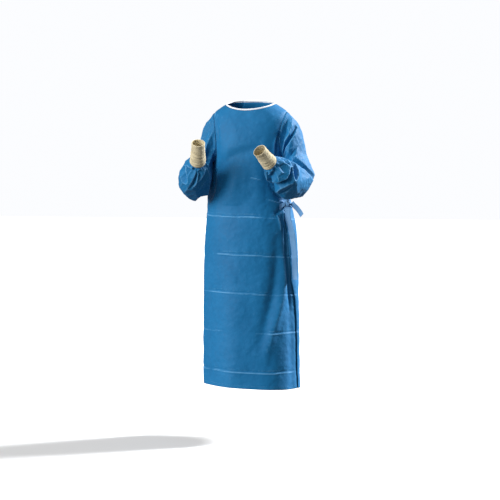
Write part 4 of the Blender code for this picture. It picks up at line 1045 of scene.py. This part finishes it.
def stitched(name, lines):
    """A mesh of stitches along lines of points."""
    points, edges = [], []
    for line in lines:
        first = len(points)
        points += line.tolist()
        edges += [(first + place, first + place + 1) for place in range(len(line) - 1)]
    mesh = bpy.data.meshes.new(name)
    mesh.from_pydata(points, edges, [])
    seam = bpy.data.objects.new(name, mesh)
    bpy.context.scene.collection.objects.link(seam)
    layer = seam.modifiers.new("Stitches", "NODES")
    layer.node_group = stitch_tree
    for item in stitch_tree.interface.items_tree:
        if item.name == "Thread":
            layer[item.identifier] = thread
    graph = bpy.context.evaluated_depsgraph_get()
    plain = bpy.data.meshes.new_from_object(seam.evaluated_get(graph), depsgraph=graph)
    seam.modifiers.remove(layer)
    seam.data = plain
    plain.shade_smooth()
    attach(seam, "root")
    return seam


def sleeve_ring(sleeve, row):
    """A ring of the finished sleeve, just off the cloth."""
    points = np.empty(len(sleeve.data.vertices) * 3)
    sleeve.data.vertices.foreach_get("co", points)
    ring = points.reshape(-1, SLEEVE_COLUMNS, 3)[row]
    ring = ring + unit(ring - ring.mean(axis=0)) * STITCH_LIFT
    return np.concatenate([ring, ring[:1]])


stitch_tree = stitch_nodes()
upright = np.linspace(0.03, NECK - 0.03, 500)
at_hem, hem_angles = level_at(-1.216), np.linspace(-88.0, 88.0, 260)
seam_lines = []
for side in (1, -1):
    gap = np.maximum(armhole_angle(upright), seam_angle(upright)) + 1.1
    seam_lines.append(gown_point(upright, side * (90.0 - gap), STITCH_LIFT))
    back_angle = 90.0 + gap if side > 0 else 270.0 - gap
    lift = STITCH_LIFT if side > 0 else STITCH_LIFT + wrap_lift(back_angle)
    seam_lines.append(gown_point(upright, back_angle, lift))
seam_lines.append(gown_point(at_hem, hem_angles, STITCH_LIFT))
seam_lines.append(gown_point(at_hem, np.linspace(92.0, 213.0, 200), STITCH_LIFT))
hem_angles = np.linspace(end_of_outer_back(at_hem) + 3.0, 268.0, 280)
seam_lines.append(gown_point(at_hem, hem_angles, STITCH_LIFT + wrap_lift(hem_angles) + edge_roll(at_hem, hem_angles)))
edge_angles = end_of_outer_back(upright) + 3.0
seam_lines.append(gown_point(upright, edge_angles, STITCH_LIFT + wrap_lift(edge_angles) + edge_roll(upright, edge_angles)))
seam_lines.append(neck_edge + neck_up * 0.0026 + neck_out * 0.0017)
for level in (11.42, 12.48):
    lift = 0.0026 + WRAP_LIFT * fade(tab_angles, end_ring_of(level) - 9.0, end_ring_of(level) - 2.0)
    seam_lines.append(gown_point(level, tab_angles, lift + STITCH_LIFT))
for sleeve in (sleeve_left, sleeve_right):
    seam_lines.append(sleeve_ring(sleeve, -4))
    seam_lines.append(sleeve_ring(sleeve, 2))
stitches = stitched("seam_stitches", seam_lines)

# Studio
# A pale floor where the wearer would stand, a broad soft light from the front left, and a narrower one from
# behind on the right that draws the bright rims along the sleeve and the flap.

floor_mesh = bpy.data.meshes.new("floor")
floor_mesh.from_pydata([(-30, -30, -1.46), (30, -30, -1.46), (30, 30, -1.46), (-30, 30, -1.46)], [], [(0, 1, 2, 3)])
floor = bpy.data.objects.new("floor", floor_mesh)
bpy.context.scene.collection.objects.link(floor)
material, shader, shade = start_material("floor")
shader.inputs["Base Color"].default_value = (0.90, 0.90, 0.90, 1.0)
shader.inputs["Roughness"].default_value = 0.9
floor_mesh.materials.append(material)
floor.visible_diffuse = floor.visible_glossy = False

LIGHTS = (
    # name, turn from the front, height angle, strength, softness, colour
    ("key", -45.0, 15.0, 3.6, 38.0, (1.0, 0.985, 0.96)),
    ("rim", 124.0, 30.0, 8.5, 10.0, (0.96, 0.98, 1.0)),
    ("top", -30.0, 72.0, 0.7, 40.0, (1.0, 1.0, 1.0)),
)
for name, turn, height, strength, softness, tint in LIGHTS:
    data = bpy.data.lights.new(name, "SUN")
    data.energy, data.angle, data.color = strength, math.radians(softness), tint
    light = bpy.data.objects.new(name, data)
    turn, height = math.radians(turn), math.radians(height)
    way = Vector((math.sin(turn) * math.cos(height), -math.cos(turn) * math.cos(height), math.sin(height)))
    light.location = way * 4.0
    light.rotation_euler = (-way).to_track_quat("-Z", "Y").to_euler()
    bpy.context.scene.collection.objects.link(light)

world = bpy.data.worlds.new("studio")
world.use_nodes = True
background = world.node_tree.nodes["Background"]
background.inputs["Color"].default_value = (0.97, 0.98, 1.0, 1.0)
seen = world.node_tree.nodes.new("ShaderNodeLightPath")
strength = world.node_tree.nodes.new("ShaderNodeMapRange")
strength.inputs["To Min"].default_value = 0.24
strength.inputs["To Max"].default_value = 1.0
world.node_tree.links.new(seen.outputs["Is Camera Ray"], strength.inputs["Value"])
world.node_tree.links.new(strength.outputs["Result"], background.inputs["Strength"])
bpy.context.scene.world = world
bpy.context.scene.view_settings.view_transform = "Standard"
